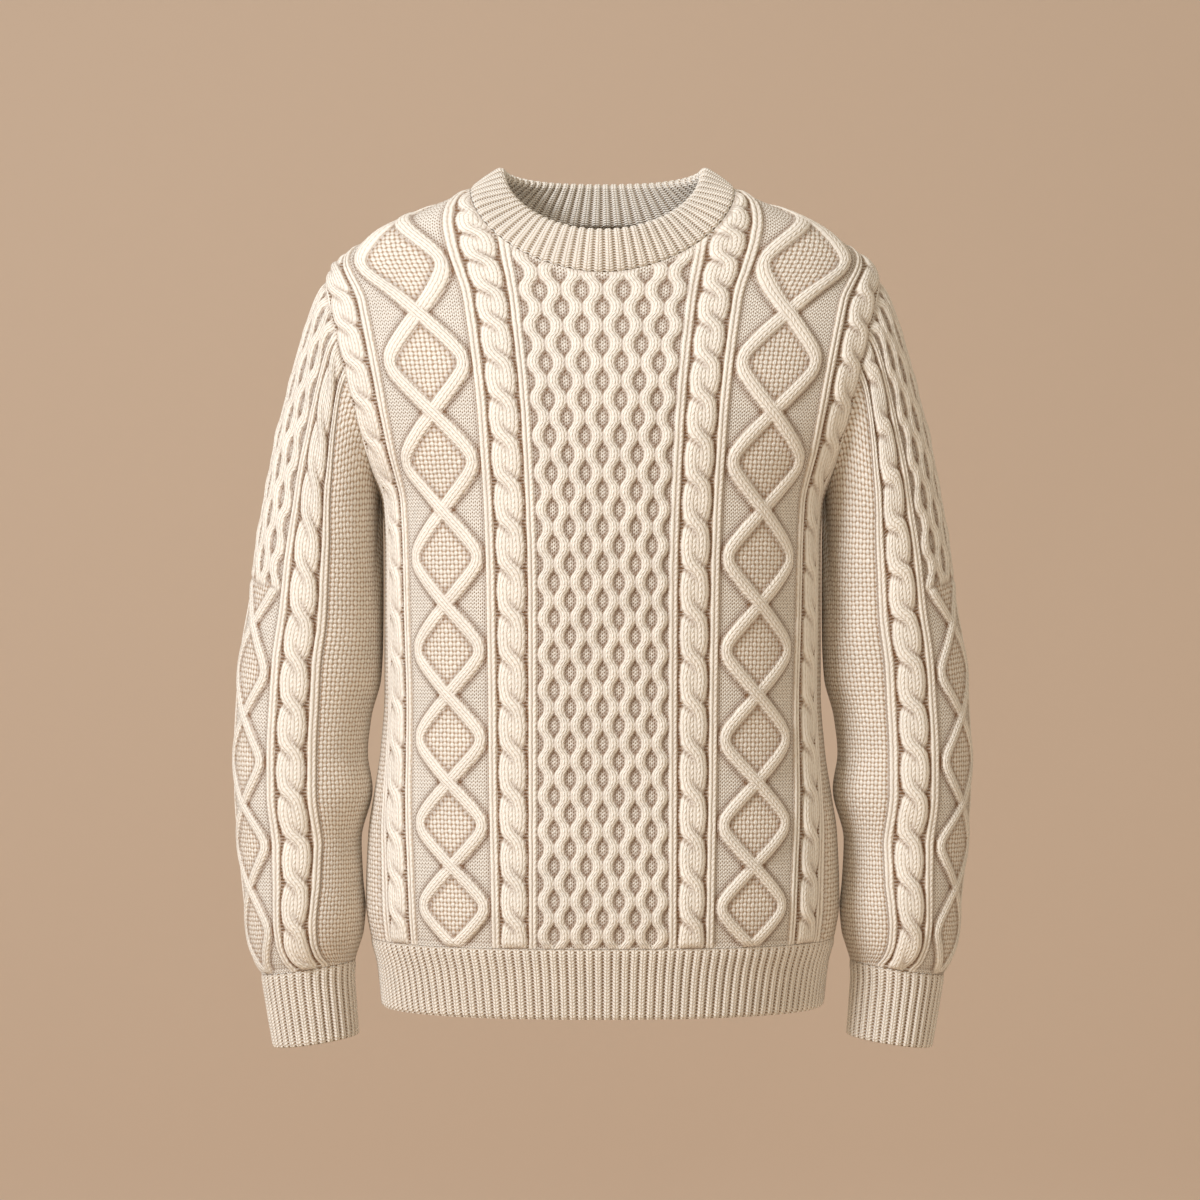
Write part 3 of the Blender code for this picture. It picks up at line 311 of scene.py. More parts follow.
# A ring's height is where it crosses the line of the front rope.
RING_HEIGHTS = SLEEVE[:, 1] + ROPE_LINE_SHARE * (SLEEVE[:, 3] - SLEEVE[:, 1])
ARMHOLE_HEIGHT = RING_HEIGHTS[1]
RING_ORDER = np.argsort(RING_HEIGHTS)
SLEEVE_CURVES = {
    name: curve_through(RING_HEIGHTS[RING_ORDER], SLEEVE[RING_ORDER, i])
    for i, name in enumerate(SLEEVE_COLUMNS)
}
RING_SHARES = np.linspace(0, 1, 241)
RING_LEVELS = np.arange(-708.0, -150.0, 2.0)
print("a sleeve has", len(SLEEVE), "given rings")


# %% One ring, from the armhole's outline at the top to a flat oval at the cuff
def armhole_depth(share, side):
    x = SHOULDER_POINT[0] + share * (UNDERARM[0] - SHOULDER_POINT[0])
    z = SHOULDER_POINT[1] + share * (UNDERARM[1] - SHOULDER_POINT[1])
    return torso_depth(x, z, side)


def sleeve_ring(height):
    """A ring at even arc shares: from the outer edge by the front to the inner edge and back."""
    size = {name: float(curve(height)) for name, curve in SLEEVE_CURVES.items()}
    turn = np.linspace(0, 2 * math.pi, 961)
    share = (1 - np.cos(turn)) / 2
    x = size["outer_x"] + share * (size["inner_x"] - size["outer_x"])
    z = size["outer_z"] + share * (size["inner_z"] - size["outer_z"])
    fitted = np.where(turn < math.pi, -armhole_depth(share, FRONT), armhole_depth(share, BACK))
    free = -size["half_depth"] * np.sin(turn)
    part = size["armhole_share"]
    y = part * fitted + (1 - part) * (free + size["shift_y"])
    points = np.stack([x, y, z], axis=1)
    arc = np.concatenate([[0], np.cumsum(np.linalg.norm(np.diff(points, axis=0), axis=1))])
    even = RING_SHARES * arc[-1]
    return [np.interp(even, arc, points[:, axis]) for axis in range(3)], arc[-1]


rings = [sleeve_ring(level) for level in RING_LEVELS]
RINGS = [np.array([ring[0][axis] for ring in rings]) for axis in range(3)]
RING_LENGTHS = np.array([ring[1] for ring in rings])
print("sleeve girth at the elbow:", round(float(np.interp(-450, RING_LEVELS, RING_LENGTHS))), "mm")


# %% The sleeve's surface
def ring_point(height, share):
    row, column = row_at(height, RING_LEVELS), (share % 1.0) * (len(RING_SHARES) - 1)
    return np.stack([read_table(table, row, column) for table in RINGS], axis=-1)


def ring_surface(height, share, hand):
    """(points, normals) of a sleeve at shares of the way round each ring."""
    place = ring_point(height, share)
    along = ring_point(height, share + 0.006) - ring_point(height, share - 0.006)
    up = ring_point(height + 1.5, share) - ring_point(height - 1.5, share)
    run_x = SLEEVE_CURVES["inner_x"](height) - SLEEVE_CURVES["outer_x"](height)
    run_z = SLEEVE_CURVES["inner_z"](height) - SLEEVE_CURVES["outer_z"](height)
    away = unit(np.stack([-run_z, 0 * run_z, run_x], axis=-1))
    edges = at_edge(height, CUFF_SEAM, CUFF_EDGE) | (height > ARMHOLE_HEIGHT - 1)
    normal = flattened(unit(np.cross(up, along)), away, edges)
    mirror = np.array([hand, 1, 1])
    return place * mirror, normal * mirror


# %% The surfaces of a sleeve and of its cuff
def sleeve_surface(hand):
    """Across runs round the sleeve from the top-of-arm line by the front."""

    def surface(across, height):
        length = np.interp(height, RING_LEVELS, RING_LENGTHS)
        start = SLEEVE_MOSS * np.interp(height, DRAW_IN[:, 0], DRAW_IN[:, 1])
        past = (across - SLEEVE_MOSS) / (SLEEVE_ROUND - 2 * SLEEVE_MOSS)
        inner = start + past * (length - 2 * start)
        arc = np.where(across > SLEEVE_MOSS, inner, across / SLEEVE_MOSS * start)
        return ring_surface(height, arc / length, hand)

    return surface


def cuff_surface(hand):
    def surface(across, height):
        return ring_surface(height, across / SLEEVE_ROUND, hand)

    return surface


# %% [markdown]
# ## Strands of stitches
#
# Every raised pattern is made of strands: bands of two to four knit columns that run side by side and
# cross. A pattern is a function that says, for any place on the fabric, how high each of its strands
# stands there and which stitch it is. The highest strand wins, as the top yarn does in the real cloth.
# Sculpting would be the other way, but a function keeps all of the repeats alike.

# %% The gauge, and the kinds of stitch
COURSE, RIB_COURSE = 4.2, 2.6
# The wrong side of a stitch shows its head and its feet, so purl bumps come about twice as close.
PURL_WALE, PURL_COURSE = 3.3, 2.9
MOSS_BUMP = 3.65
KNIT, PURL, MOSS = 0, 1, 2
GROUND_LIFT, BED_LIFT, MOSS_LIFT = 0.2, 0.25, 1.1
# A strand is flat on top and falls away at its edges, where the outer stitches turn under.
FLATNESS, SEEN_WIDTH = 2.4, 1.84


def strand(away, half_width, crest, wales, along, edge=0.55):
    """(lift, wale, course, kind) of a strand, away from its middle line and along it."""
    lift = crest * np.clip(1 - np.abs(away / half_width) ** FLATNESS, 0, 1) ** edge
    return lift, wales / 2 + away * wales / (SEEN_WIDTH * half_width), along / COURSE, KNIT


print("rows of knit in 10 cm of strand:", round(100 / COURSE))


# %% Where a pattern's repeats lie
COURSE_NUMBERS = np.linspace(-4, 40, 881)


def number_at(height, courses):
    """The repeat of a pattern that a height is in: first height, pitch and how the pitch changes."""
    heights = sum(term * COURSE_NUMBERS**power for power, term in enumerate(courses))
    return np.interp(height, np.maximum.accumulate(heights), COURSE_NUMBERS)


# First height, pitch and how the pitch changes, in mm
HONEYCOMB_COURSES = (-607.0, 27.3, 0.075)
DIAMOND_COURSES = (-617.2, 62.55, 1.45)
ROPE_COURSES = (-595.6, 31.7, 0.748, -0.0411)
cells_up = float(number_at(-NECK_DROP[FRONT], HONEYCOMB_COURSES))
print("honeycomb cells up the front:", round(cells_up, 1))


# %% Plain grounds, ribs and ribbing
def purl(x, z, anchor):
    yield GROUND_LIFT + 0 * x, x / PURL_WALE, z / PURL_COURSE, PURL


def moss(x, z, anchor):
    yield MOSS_LIFT + 0 * x, x / MOSS_BUMP, z / MOSS_BUMP, MOSS


RIB_LIFT, RIB_LEG, WELT_LIFT = 2.2, 1.8, 2.1


def rib(x, z, anchor):
    """One knit column, whose two legs stand apart."""
    for middle in (-RIB_LEG, RIB_LEG):
        lift = strand(x - middle, 1.9, RIB_LIFT, 1, z)[0]
        yield lift, 0.5 + x / (4 * RIB_LEG), z / COURSE, KNIT


def ribbing(pitch, share=0.41):
    """Single knit columns with a purl valley between each two."""

    def pattern(x, z, anchor):
        number = np.floor(anchor[0] / pitch)
        along = z * COURSE / RIB_COURSE
        yield strand(x - (number + 0.5) * pitch, share * pitch, WELT_LIFT, 1, along, 0.4)
        yield BED_LIFT + 0 * x, 0 * x, z / RIB_COURSE, PURL

    return pattern


print("a rib stands", RIB_LIFT, "mm proud on a panel and", WELT_LIFT, "mm in the ribbing")

# %% Honeycomb
CELL = 25.75
SWING, CELL_STRAND = 2.45, 4.85


def honeycomb(cells, cell, courses, half_width=CELL_STRAND):
    """Strands that lean on the left neighbour and the right one in turn, with hollows between."""

    def pattern(x, z, anchor):
        turn = 2 * np.pi * number_at(z, courses)
        swing = SWING * np.tanh(1.3 * np.cos(turn)) / np.tanh(1.3)
        crest = 3.3 + 0.2 * np.cos(2 * turn)
        for number in range(cells):
            left = (number - cells / 2) * cell
            yield strand(x - left - 0.25 * cell + swing, half_width, crest, 2, z, 0.65)
            yield strand(x - left - 0.75 * cell - swing, half_width, crest, 2, z, 0.65)
        yield BED_LIFT + 0 * x, x / PURL_WALE, z / PURL_COURSE, PURL

    return pattern


print("honeycomb cells are", CELL, "mm wide and", HONEYCOMB_COURSES[1], "mm tall")


# %% Strands that lean to and fro
def followed(path, turn, pitch):
    """The slope of a strand's middle line and the length along it, for a path over a turn."""
    length = np.concatenate([[0], np.cumsum(np.hypot(np.diff(path), np.diff(turn) * pitch))])
    return np.gradient(path, turn * pitch), length


def leaning_strand(x, at, course_line, pitch, way, half_width, crest, edge=0.55):
    """A strand of two stitches along a line that is given as its turn, path, slope and length."""
    turn, path, slope, length = course_line
    away = x - way * np.interp(at, turn, path)
    lean = way * np.interp(at, turn, slope)
    nearest = at + away * lean / (1 + lean**2) / pitch
    along = np.interp(nearest, turn, length)
    return strand(away / np.sqrt(1 + lean**2), half_width, crest, 2, along, edge)


# %% Rope
ROPE_SWAY, ROPE_STRAND = 5.9, 6.4
# The share of a repeat in which one strand passes over the other
CROSSING = 0.24


def rope(courses, twist):
    """Two strands that lie close and pass over each other in turn, always the same way."""
    turn = np.linspace(-1, 1, 161)
    path = ROPE_SWAY * np.tanh(1.4 * np.sin(np.pi * turn)) / np.tanh(1.4)
    line = turn, path, *followed(path, turn, courses[1])

    def pattern(x, z, anchor):
        number, first = number_at(z, courses), np.floor(number_at(anchor[1], courses))
        for crossing in (first, first + 1):
            at = number - crossing
            behind = np.exp(-(((np.abs(at) - 1) / CROSSING) ** 2))
            crest = 4.0 + 0.9 * np.exp(-((at / CROSSING) ** 2)) - 1.9 * behind
            yield leaning_strand(x, at, line, courses[1], -twist, ROPE_STRAND, crest)
        lobe = np.abs(np.sin(np.pi * number))
        between = (1.6 + 2.2 * lobe) * np.clip(1 - np.abs(x / (7.0 + 5.2 * lobe)) ** 2.6, 0, 1) ** 0.5
        yield between, x / ROPE_SWAY, z / COURSE, KNIT
        yield BED_LIFT + 0 * x, 0 * x, z / PURL_COURSE, PURL

    return pattern


print("a rope's strands are", 2 * ROPE_STRAND, "mm wide and cross every", ROPE_COURSES[1], "mm")


# %% Diamonds
def diamonds(reach, half_width, courses):
    """Two strands that cross, part over a purl ground and come back, with moss stitch between."""
    turn = np.linspace(-0.5, 0.5, 161)
    near, round_off = 1 - np.abs(2 * turn), 0.26
    opened = 1 - (np.hypot(near, round_off) - round_off) / (math.hypot(1, round_off) - round_off)
    path = reach * np.sign(turn) * opened
    line = turn, path, *followed(path, turn, courses[1])
    repeat = line[3][-1] / COURSE

    def pattern(x, z, anchor):
        crossing = np.round(number_at(anchor[1], courses))
        at = number_at(z, courses) - crossing
        for way, over in ((-1, 0.5), (1, -0.9)):
            crest = 3.6 + over * np.exp(-((at / 0.1) ** 2))
            one = leaning_strand(x, at, line, courses[1], way, half_width, crest, 0.42)
            yield one[0], one[1], one[2] + crossing * repeat, KNIT
        inside = np.abs(x) < np.abs(np.interp(at, turn, path)) - 2
        yield np.where(inside, MOSS_LIFT, -1.0), x / MOSS_BUMP, z / MOSS_BUMP, MOSS

    return pattern


print("a diamond is", DIAMOND_COURSES[1], "mm tall at the hem")


# %% The body's layout: (pattern, middle, reach to each side)
PANEL_ROPES, PANEL_RIBS = (73.0, 191.5), (56.0, 90.0, 173.5, 207.5)
DIAMOND_MIDDLE, MOSS_MIDDLE = 130.0, 232.0
ROPE_REACH, RIB_REACH = 14.0, 4.0


def body_layout():
    layout = [(purl, 0.0, 260.0), (honeycomb(4, CELL, HONEYCOMB_COURSES), 0.0, 54.0)]
    twisted = rope(ROPE_COURSES, 1)
    crossed = diamonds(29.5, 5.3, DIAMOND_COURSES)
    for side in (-1, 1):
        layout += [(twisted, side * middle, ROPE_REACH) for middle in PANEL_ROPES]
        layout += [(crossed, side * DIAMOND_MIDDLE, 37.0)]
        layout += [(rib, side * middle, RIB_REACH) for middle in PANEL_RIBS]
        layout += [(moss, side * MOSS_MIDDLE, 20.5)]
    return layout


print("patterns across a panel:", len(body_layout()))


# %% The sleeves' layout
SLEEVE_ROPE, SLEEVE_COLUMN, SLEEVE_RIBS = 82.0, 33.0, (65.0, 99.0)
COLUMN_CHANGE = -340.0
SLEEVE_ROPE_COURSES, SLEEVE_DIAMOND_COURSES = (-606.0, 36.2, 0.0), (-642.0, 68.0, 0.0)


def above(height, upper, lower):
    """One pattern over a height and another below it, each fading out a little where they meet."""

    def pattern(x, z, anchor):
        for mine, way in ((upper, 1), (lower, -1)):
            faded = np.clip((z - height) * way / 6 + 0.5, 0, 1)
            for lift, wale, course_, kind in mine(x, z, anchor):
                yield np.where(faded > 0, lift * faded, -1.0), wale, course_, kind

    return pattern


def level_moss(x, z, anchor):
    """Moss stitch whose rows run level, though the sleeve's rings lean."""
    share = (1 + np.cos(np.pi * x / (SLEEVE_ROUND / 2))) / 2
    run = SLEEVE_CURVES["inner_z"](z) - SLEEVE_CURVES["outer_z"](z)
    level = z + (share - ROPE_LINE_SHARE) * run
    yield MOSS_LIFT + 0 * x, x / MOSS_BUMP, level / MOSS_BUMP, MOSS


def sleeve_layout(hand):
    layout = [(purl, 76.0, 190.0), (rib, 0.0, 4.0), (level_moss, 180.0, 76.0)]
    twisted = rope(SLEEVE_ROPE_COURSES, -hand)
    cells = honeycomb(2, 26.0, (COLUMN_CHANGE, 31.0, 0.0), 5.7)
    column = above(COLUMN_CHANGE, cells, diamonds(21.5, 4.4, SLEEVE_DIAMOND_COURSES))
    for side in (-1, 1):
        layout += [(twisted, side * SLEEVE_ROPE, ROPE_REACH), (column, side * SLEEVE_COLUMN, 28.0)]
        layout += [(rib, side * middle, RIB_REACH) for middle in SLEEVE_RIBS]
    return layout


print("patterns round a sleeve:", len(sleeve_layout(1)))


# %% The highest strand wins
def lift_at(layout, across, height):
    """How high the fabric stands over its ground, before any fading at seams."""
    best = np.full(across.shape, -1.0)
    for pattern, middle, reach in layout:
        near = np.abs(across - middle) <= reach
        x, z = across[near] - middle, height[near]
        top = best[near]
        for lift, *_ in pattern(x, z, (x, z)):
            top = np.maximum(top, lift)
        best[near] = top
    return best


MOST_STRANDS = 16


def stitches(layout, across, height, face, centre_across, centre_height):
    """Each corner's (wale, course) on the strand that is on top in its face, and each face's kind."""
    best = np.full(centre_across.shape, -2.0)
    owner = np.zeros(centre_across.shape, int)
    for i, (pattern, middle, reach) in enumerate(layout):
        near = np.nonzero(np.abs(centre_across - middle) <= reach)[0]
        x, z = centre_across[near] - middle, centre_height[near]
        for k, (lift, *_) in enumerate(pattern(x, z, (x, z))):
            better = near[lift > best[near]]
            best[better] = lift[lift > best[near]]
            owner[better] = i * MOST_STRANDS + k
    wale, course_ = np.zeros(across.shape), np.zeros(across.shape)
    kinds = np.zeros(centre_across.shape, int)
    corner_owner = owner[face]
    for code in np.unique(owner):
        pattern, middle, _ = layout[code // MOST_STRANDS]
        chosen = corner_owner == code
        anchor = centre_across[face[chosen]] - middle, centre_height[face[chosen]]
        found = list(pattern(across[chosen] - middle, height[chosen], anchor))[code % MOST_STRANDS]
        wale[chosen], course_[chosen] = found[1], found[2]
        kinds[owner == code] = found[3]
    return wale, course_, kinds


# %% [markdown]
# ## From a grid to a closed shell of cloth
#
# Each piece starts as a grid, which is bent onto the body and raised where the strands are. A panel's
# grid is snapped to the neckline and the armhole before its outer faces are deleted, so its edge is
# smooth. Then the sheet is extruded inwards by the cloth's thickness. The inside of the cloth is
# plain, so most of its edges are dissolved again. A Solidify modifier would copy the relief inwards.


# %% Snap a grid to the edge of the kept region
def snapped(across, height, keep):
    """Moves the nearest grid points onto the line where keep changes sign; returns their sides too."""
    inside = keep(across, height)
    nearest = np.full(across.shape, 0.5001)
    target = np.stack([across, height])
    side = np.sign(inside)
    for axis in (0, 1):
        for step in (1, -1):
            other = np.roll(inside, -step, axis)
            edge = [slice(None), slice(None)]
            edge[axis] = -1 if step == 1 else 0
            with np.errstate(divide="ignore", invalid="ignore"):
                part = np.where(inside * other < 0, inside / (inside - other), 1.0)
            part[tuple(edge)] = 1.0
            closer = part < nearest
            nearest = np.where(closer, part, nearest)
            for values, moved in ((across, target[0]), (height, target[1])):
                step_to = np.roll(values, -step, axis)
                moved[closer] = (values + part * (step_to - values))[closer]
            side = np.where(closer, 0, side)
    return target[0], target[1], side


def blurred(values, reach):
    """The mean over a square of neighbours."""
    width = 2 * reach + 1
    for axis in (0, 1):
        pad = [(0, 0), (0, 0)]
        pad[axis] = (reach + 1, reach)
        total = np.pad(values, pad, mode="edge").cumsum(axis)
        top = np.take(total, range(width, total.shape[axis]), axis)
        values = (top - np.take(total, range(total.shape[axis] - width), axis)) / width
    return values


# %% Start the mesh of a piece
MERGE, DEGENERATE, MOVED = 0.02 * MM, 0.01 * MM, 0.05 * MM


def grid_mesh(places):
    """A grid bent onto rows and columns of points; each vertex keeps its number as its spot."""
    rows, columns = places.shape[:2]
    mesh = bmesh.new()
    bmesh.ops.create_grid(mesh, x_segments=columns - 1, y_segments=rows - 1, size=1.0)
    spot = mesh.verts.layers.int.new("spot")
    for number, (vertex, place) in enumerate(zip(mesh.verts, (places.reshape(-1, 3) * MM).tolist())):
        vertex.co = place
        vertex[spot] = number
    return mesh, spot


def cut_off(mesh, spot, side):
    """Splits the faces that the edge crosses from corner to corner, and deletes those beyond it."""
    signs = side.ravel()
    for face in mesh.faces[:]:
        here = [signs[vertex[spot]] for vertex in face.verts]
        if min(here) < 0 < max(here):
            bmesh.utils.face_split(face, *[v for v, sign in zip(face.verts, here) if sign == 0])
    gone = [face for face in mesh.faces if min(signs[v[spot]] for v in face.verts) < 0]
    bmesh.ops.delete(mesh, geom=gone, context="FACES")


# %% Clean the sheet, so that it is sound before it gets its thickness
def pinched(mesh):
    """Slivers that hang on to the sheet by one corner, or as a third face on an edge."""
    spots = [v for v in mesh.verts if sum(edge.is_boundary for edge in v.link_edges) > 2]
    spots += [edge for edge in mesh.edges if len(edge.link_faces) > 2]
    return {min(spot.link_faces, key=lambda face: face.calc_area()) for spot in spots}


def clean(mesh, spot, points):
    """Merges points that meet at a join or a pole, and cuts off the slivers that this leaves."""
    bmesh.ops.remove_doubles(mesh, verts=mesh.verts, dist=MERGE)
    bmesh.ops.dissolve_degenerate(mesh, dist=DEGENERATE, edges=mesh.edges)
    # Merging can mix up the numbers of the points that it joins, so those are looked up again.
    for vertex in mesh.verts:
        if (vertex.co - Vector(points[vertex[spot]])).length > MOVED:
            vertex[spot] = int(np.argmin(np.linalg.norm(points - np.array(vertex.co), axis=1)))
    while slivers := pinched(mesh):
        bmesh.ops.delete(mesh, geom=list(slivers), context="FACES")
    bmesh.ops.recalc_face_normals(mesh, faces=mesh.faces)


# %% Give the sheet its thickness
LINING_STEP = 6


def thicken(mesh, spot, inner, ring):
    """Extrudes the sheet to the cloth's inside, where only every few edges are kept."""
    lining = mesh.verts.layers.int.new("lining")
    pulled = bmesh.ops.extrude_face_region(mesh, geom=mesh.faces[:])["geom"]
    places = (inner.reshape(-1, 3) * MM).tolist()
    for item in pulled:
        if isinstance(item, bmesh.types.BMVert):
            item.co = places[item[spot]]
            item[lining] = 1
    inside = {item for item in pulled if isinstance(item, bmesh.types.BMFace)}
    rim = {face for face in mesh.faces if face not in inside and any(v[lining] for v in face.verts)}
    for edge in mesh.edges:
        edge.smooth = sum(face in rim for face in edge.link_faces) != 1
    columns = inner.shape[1]
    around = columns - 1 if ring else columns
    extra = []
    for edge in mesh.edges:
        if edge.link_faces and all(face in inside for face in edge.link_faces):
            (i, j), (k, l) = (divmod(vertex[spot], columns) for vertex in edge.verts)
            level = i == k and i % LINING_STEP == 0
            upright = j % around == l % around and j % around % LINING_STEP == 0
            if not (level or upright):
                extra.append(edge)
    bmesh.ops.dissolve_edges(mesh, edges=extra, use_verts=True)


def outwards(name, mesh):
    """The finished mesh, with its faces turned outwards."""
    bmesh.ops.recalc_face_normals(mesh, faces=mesh.faces)
    if mesh.calc_volume(signed=True) < 0:
        bmesh.ops.reverse_faces(mesh, faces=mesh.faces)
    data = bpy.data.meshes.new(name)
    mesh.to_mesh(data)
    mesh.free()
    return data


# %% Values for face corners
def corner_values(data, name, values):
    """The vertices' values at every face corner."""
    spots = np.zeros(len(data.vertices), np.int32)
    data.attributes[name].data.foreach_get("value", spots)
    corners = np.zeros(len(data.loops), np.int32)
    data.loops.foreach_get("vertex_index", corners)
    return [value.ravel()[spots[corners]] for value in values]


def face_table(data):
    """Each face's first corner and number of corners, and each corner's face."""
    starts, counts = (np.zeros(len(data.polygons), np.int32) for _ in range(2))
    data.polygons.foreach_get("loop_start", starts)
    data.polygons.foreach_get("loop_total", counts)
    return starts, counts, np.repeat(np.arange(len(starts)), counts)


def unwrapped(values, starts, counts, period):
    """Corner values of a closed piece, lifted by its period where a face crosses the join."""
    highest = np.repeat(np.maximum.reduceat(values, starts), counts)
    return np.where(highest - values > period / 2, values + period, values)


# %% Finish a piece
def finished(name, data, wale, course_, hollow_shade, kinds, wools):
    """The piece's object, with a stitch map, painted hollow shade and a wool for each kind of stitch.
    """
    stitch_map = data.uv_layers.new(name="stitches")
    stitch_map.data.foreach_set("uv", np.stack([wale, course_], axis=1).ravel())
    depth = data.attributes.new("hollow_shade", "FLOAT", "CORNER")
    depth.data.foreach_set("value", hollow_shade)
    for made in ("spot", "lining"):
        if made in data.attributes:
            data.attributes.remove(data.attributes[made])
    data.polygons.foreach_set("use_smooth", np.ones(len(kinds), bool))
    for wool in wools:
        data.materials.append(wool)
    data.polygons.foreach_set("material_index", kinds.astype(np.int32))
    piece = bpy.data.objects.new(name, data)
    bpy.context.scene.collection.objects.link(piece)
    triangles = len(data.loops) - 2 * len(data.polygons)
    print(f"{name}: {triangles} triangles, kinds {np.bincount(kinds, minlength=3).tolist()}")
    return piece


# %% Make a piece of cloth
SPREAD = (-1 / 3, 0.0, 1 / 3)


def cloth(
    name, across, height, surface, layout, fade, trim,
    side=None, period=None, edge_lift=0.0, wools=None, deep=1.25,
):
    """A raised outside on a plain inside, from places across the fabric and heights."""
    place, normal = surface(across, height)
    wide, tall = np.gradient(across, axis=1), np.gradient(height, axis=0)
    # A point stands as high as the mean of the ground round it, so that crests aren't jagged.
    near = [(across + a * wide, height + b * tall) for a in SPREAD for b in SPREAD]
    lift = sum(lift_at(layout, *ground) for ground in near) / len(near)
    faded = fade(place, height)
    lift = trim(lift * faded + edge_lift * (1 - faded), across, height)
    # Painted shade: where the cloth lies below the mean round it, its colour is darkened, fully so at
    # deep mm below.
    hollow_shade = np.clip((blurred(lift, 2) - lift) / deep, 0, 1)
    outer = place + normal * lift[..., None]
    mesh, spot = grid_mesh(outer)
    if side is not None:
        cut_off(mesh, spot, side)
    clean(mesh, spot, outer.reshape(-1, 3) * MM)
    thicken(mesh, spot, place - normal * WALL, bool(period))
    data = outwards(name, mesh)
    u, v, hollows = corner_values(data, "spot", (across, height, hollow_shade))
    (inside,) = corner_values(data, "lining", (np.array([0, 1]),))
    starts, counts, face = face_table(data)
    if period:
        u = unwrapped(u, starts, counts, period)
    middle = [np.add.reduceat(values, starts) / counts for values in (u, v)]
    wale, course_, kinds = stitches(layout, u, v, face, *middle)
    plain = np.add.reduceat(inside, starts) > 0
    kinds[plain] = PURL
    wale = np.where(plain[face], u / PURL_WALE, wale)
    course_ = np.where(plain[face], v / PURL_COURSE, course_)
    hollows = np.where(plain[face], 0.0, hollows)
    return finished(name, data, wale, course_, hollows, kinds, wools or PANEL_WOOLS)


# %% [markdown]
# ## Undyed wool
#
# The yarn is a worsted-spun, undyed sheep's wool: matt, a little fuzzy, and warm in its depths, where
# light has passed through the fibres several times. That warm shade between the stitches and in the
# hollows is painted into the colour. It could be one material with a mask for each stitch. Here each
# kind of stitch has its own one, all of the same yarn: knit, purl and moss on the panels, and knit and
# purl in the ribbing. The stitch map counts columns and rows, so simple waves of it draw the stitches.


# %% Colours and the one function that adds a node
def linear(hex_colour):
    """An sRGB hex colour as linear red, green, blue and alpha."""
    parts = [int(hex_colour[i : i + 2], 16) / 255 for i in (1, 3, 5)]
    return (*(p / 12.92 if p <= 0.04045 else ((p + 0.055) / 1.055) ** 2.4 for p in parts), 1.0)


def add(tree, kind, inputs=None, **settings):
    """Adds a shader node with its settings; an input takes a value or another node's output."""
    made = tree.nodes.new("ShaderNode" + kind)
    for name, value in settings.items():
        setattr(made, name, value)
    for socket, value in (inputs or {}).items():
        if isinstance(value, bpy.types.NodeSocket):
            tree.links.new(value, made.inputs[socket])
        else:
            made.inputs[socket].default_value = value
    return made.outputs


print("cream #EEE7DA is", [round(part, 3) for part in linear("#EEE7DA")[:3]], "in linear light")


# %% Knit stitches, on the cables and in the ribbing
def wave(tree, along, turns, shape):
    """A sine or cosine wave with so many turns to a stitch."""
    turned = add(tree, "Math", {0: along, 1: turns * 2 * math.pi}, operation="MULTIPLY")[0]
    return add(tree, "Math", {0: turned}, operation=shape)[0]


def knit_height(tree, wale, course_, lean=1.6, slant=0.38):
    """Two slanted legs to each stitch, which make a V."""
    leg = wave(tree, wale, 1, "SINE")
    leg = add(tree, "Math", {0: leg}, operation="ABSOLUTE")[0]
    gap = add(tree, "Math", {0: 1.0, 1: leg}, operation="SUBTRACT")[0]
    gap = add(tree, "Math", {0: gap, 1: 1.8}, operation="POWER")[0]
    inwards = add(tree, "Math", {0: wale, 1: 0.5}, operation="PINGPONG")[0]
    leaned = add(tree, "Math", {0: inwards, 1: lean, 2: course_}, operation="MULTIPLY_ADD")[0]
    row = wave(tree, leaned, 0.5, "SINE")
    row = add(tree, "Math", {0: row, 1: row}, operation="MULTIPLY")[0]
    top = add(tree, "Math", {0: gap, 1: -0.7, 2: 1.0}, operation="MULTIPLY_ADD")[0]
    ends = add(tree, "Math", {0: row, 1: slant, 2: 1 - slant}, operation="MULTIPLY_ADD")[0]
    return add(tree, "Math", {0: top, 1: ends}, operation="MULTIPLY")[0]


def rib_height(tree, wale, course_):
    """The same stitches, squeezed by the ribbing, so their legs lie flatter and show more."""
    return knit_height(tree, wale, course_, 0.9, 0.55)


# %% Purl bumps
def purl_height(tree, wale, course_):
    """Short bumps in wavy rows: the heads and feet of the loops, seen from the wrong side."""
    sway = wave(tree, wale, 1, "COSINE")
    waved = add(tree, "Math", {0: sway, 1: 0.2, 2: course_}, operation="MULTIPLY_ADD")[0]
    bar = wave(tree, waved, 1, "COSINE")
    bend = add(tree, "Math", {0: sway, 1: sway}, operation="MULTIPLY")[0]
    deep = add(tree, "Math", {0: bend, 1: 0.5}, operation="MULTIPLY")[0]
    return add(tree, "Math", {0: bar, 1: deep, 2: 0.5}, operation="MULTIPLY_ADD")[0]


